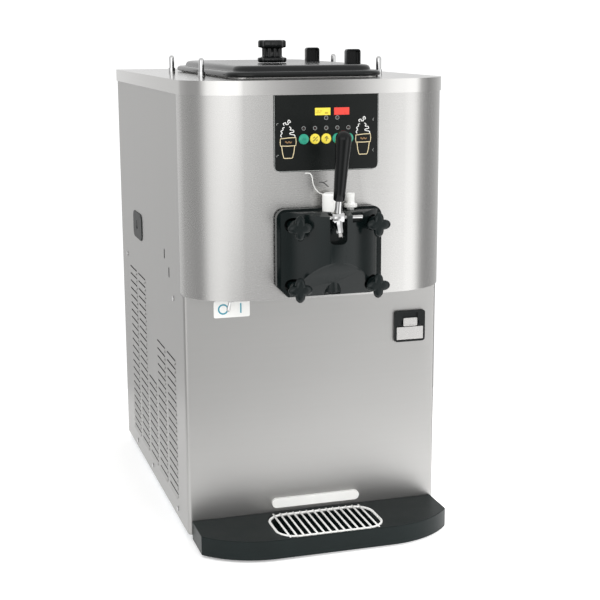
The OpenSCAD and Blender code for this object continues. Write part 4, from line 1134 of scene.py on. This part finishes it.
class FREEZER_OT_studio(Operator):
    """Sets the pale floor, the soft lights and the camera"""
    bl_idname = "freezer.studio"
    bl_label = "Studio"

    def execute(self, context):
        scene = context.scene
        scene.view_settings.view_transform = "Standard"
        # Bearings in degrees and brightness: near the horizon, then below it.
        level_ring = (
            (-180, 0.9), (-140, 0.9), (-100, 0.5), (-76, 0.5), (-60, 1.6), (-25, 2.1),
            (-2, 1.95), (4, 1.3), (10, 0.7), (18, 0.36), (24, 0.8), (30, 1.75), (54, 1.8),
            (66, 0.7), (85, 0.4), (120, 0.7), (180, 0.9))
        low_ring = (
            (-180, 0.8), (-105, 0.6), (-78, 0.35), (-60, 1.2), (-40, 1.2), (-20, 0.5),
            (2, 0.4), (10, 0.55), (16, 0.95), (22, 1.4), (34, 2.1), (56, 2.0), (72, 0.4),
            (180, 0.8))
        sky = Sky("studio_sky")
        sky.panorama(level_ring, low_ring, overhead=0.95)
        scene.world = sky.world
        self.floor(scene)
        self.lamps(scene)
        self.camera(scene)
        return {"FINISHED"}

    def lamps(self, scene):
        """Three soft boxes that no surface mirrors: name, place, size and power."""
        target = Vector((0.0, 0.0, 0.42))
        for name, spot, size, power in (
                ("left_box", (-1.9, -1.5, 1.5), (1.0, 2.2), 26.0),
                ("right_box", (2.3, -1.6, 1.2), (0.7, 2.2), 26.0),
                ("top_box", (0.2, -0.3, 2.6), (1.8, 1.8), 16.0)):
            lamp = bpy.data.lights.new(name, "AREA")
            lamp.shape = "RECTANGLE"
            lamp.size, lamp.size_y = size
            lamp.energy = power
            holder = bpy.data.objects.new(name, lamp)
            holder.location = spot
            aim = target - Vector(spot)
            holder.rotation_euler = aim.to_track_quat("-Z", "Y").to_euler()
            holder.visible_glossy = False
            scene.collection.objects.link(holder)

    def floor(self, scene):
        """A round sheet of paper with a painted glow, more on the right than on the left."""
        steps, gap = 64, 0.0004
        rings = [[Vector((r * math.cos(2 * math.pi * i / steps),
                          r * math.sin(2 * math.pi * i / steps), CAD_LOW.z - gap))
                  for i in range(steps)] for r in (0.2, 0.5, 0.7, 0.8)]
        mesh = bmesh.new()
        ring_stack(mesh, rings, True, False)
        data = bpy.data.meshes.new("studio_floor")
        mesh.to_mesh(data)
        mesh.free()
        paper = Finish("studio_paper")
        cloud = paper.noise(3.0, 2.0)
        paper.set("Base Color", paper.mix(cloud, (0.88, 0.88, 0.88), (0.93, 0.93, 0.93)))
        paper.set("Roughness", paper.between(cloud, 0.3, 0.7, 0.75, 0.85))
        # The glow is painted light: it rises from left to right, and the lower steel mirrors it.
        painted_glow_share = paper.between(paper.along("X"), -0.25, 0.3)
        paper.set("Emission Color", paper.mix(painted_glow_share, (0.25, 0.25, 0.25), (1.0, 1.0, 1.0)))
        paper.set("Emission Strength", 0.8)
        data.materials.append(paper.material)
        ground = bpy.data.objects.new("studio_floor", data)
        scene.collection.objects.link(ground)

    def camera(self, scene):
        """A camera at eye, that looks ahead and leans by a small roll."""
        eye = (-0.662, FRONT - 2.112, 0.887)
        ahead = Vector((0.2827, 0.9370, -0.2052)).normalized()
        roll = math.radians(-0.24)
        right = ahead.cross(Vector((0, 0, 1))).normalized()
        up = right.cross(ahead)
        right, up = (right * math.cos(roll) + up * math.sin(roll),
                     up * math.cos(roll) - right * math.sin(roll))
        lens = bpy.data.cameras.new("studio_camera")
        lens.lens = 77.2
        lens.sensor_width = 36.0
        lens.clip_end = 60.0
        holder = bpy.data.objects.new("studio_camera", lens)
        turn = Matrix((right, up, -ahead)).transposed().to_4x4()
        holder.matrix_world = Matrix.Translation(eye) @ turn
        scene.collection.objects.link(holder)
        scene.camera = holder


OPERATORS = (FREEZER_OT_finishes, FREEZER_OT_rounded_parts, FREEZER_OT_lid,
             FREEZER_OT_draw_handle, FREEZER_OT_hand_screws, FREEZER_OT_control_panel,
             FREEZER_OT_painted_slit_shade, FREEZER_OT_grate, FREEZER_OT_front_signs,
             FREEZER_OT_studio)


class FREEZER_PT_panel(Panel):
    """Lists the steps that build the freezer"""
    bl_label = "Soft serve freezer"
    bl_space_type = "VIEW_3D"
    bl_region_type = "UI"
    bl_category = "Freezer"

    def draw(self, context):
        for group in (context.scene.freezer_sizes, context.scene.freezer_colours):
            for name in group.__annotations__:
                self.layout.prop(group, name)
        for operator in OPERATORS:
            self.layout.operator(operator.bl_idname)


CLASSES = (FreezerSizes, FreezerColours, *OPERATORS, FREEZER_PT_panel)


def register():
    for item in CLASSES:
        bpy.utils.register_class(item)
    bpy.types.Scene.freezer_sizes = PointerProperty(type=FreezerSizes)
    bpy.types.Scene.freezer_colours = PointerProperty(type=FreezerColours)


def unregister():
    del bpy.types.Scene.freezer_colours
    del bpy.types.Scene.freezer_sizes
    for item in reversed(CLASSES):
        bpy.utils.unregister_class(item)


def main():
    register()
    for operator in OPERATORS:
        group, name = operator.bl_idname.split(".")
        getattr(getattr(bpy.ops, group), name)()


if __name__ == "__main__":
    main()
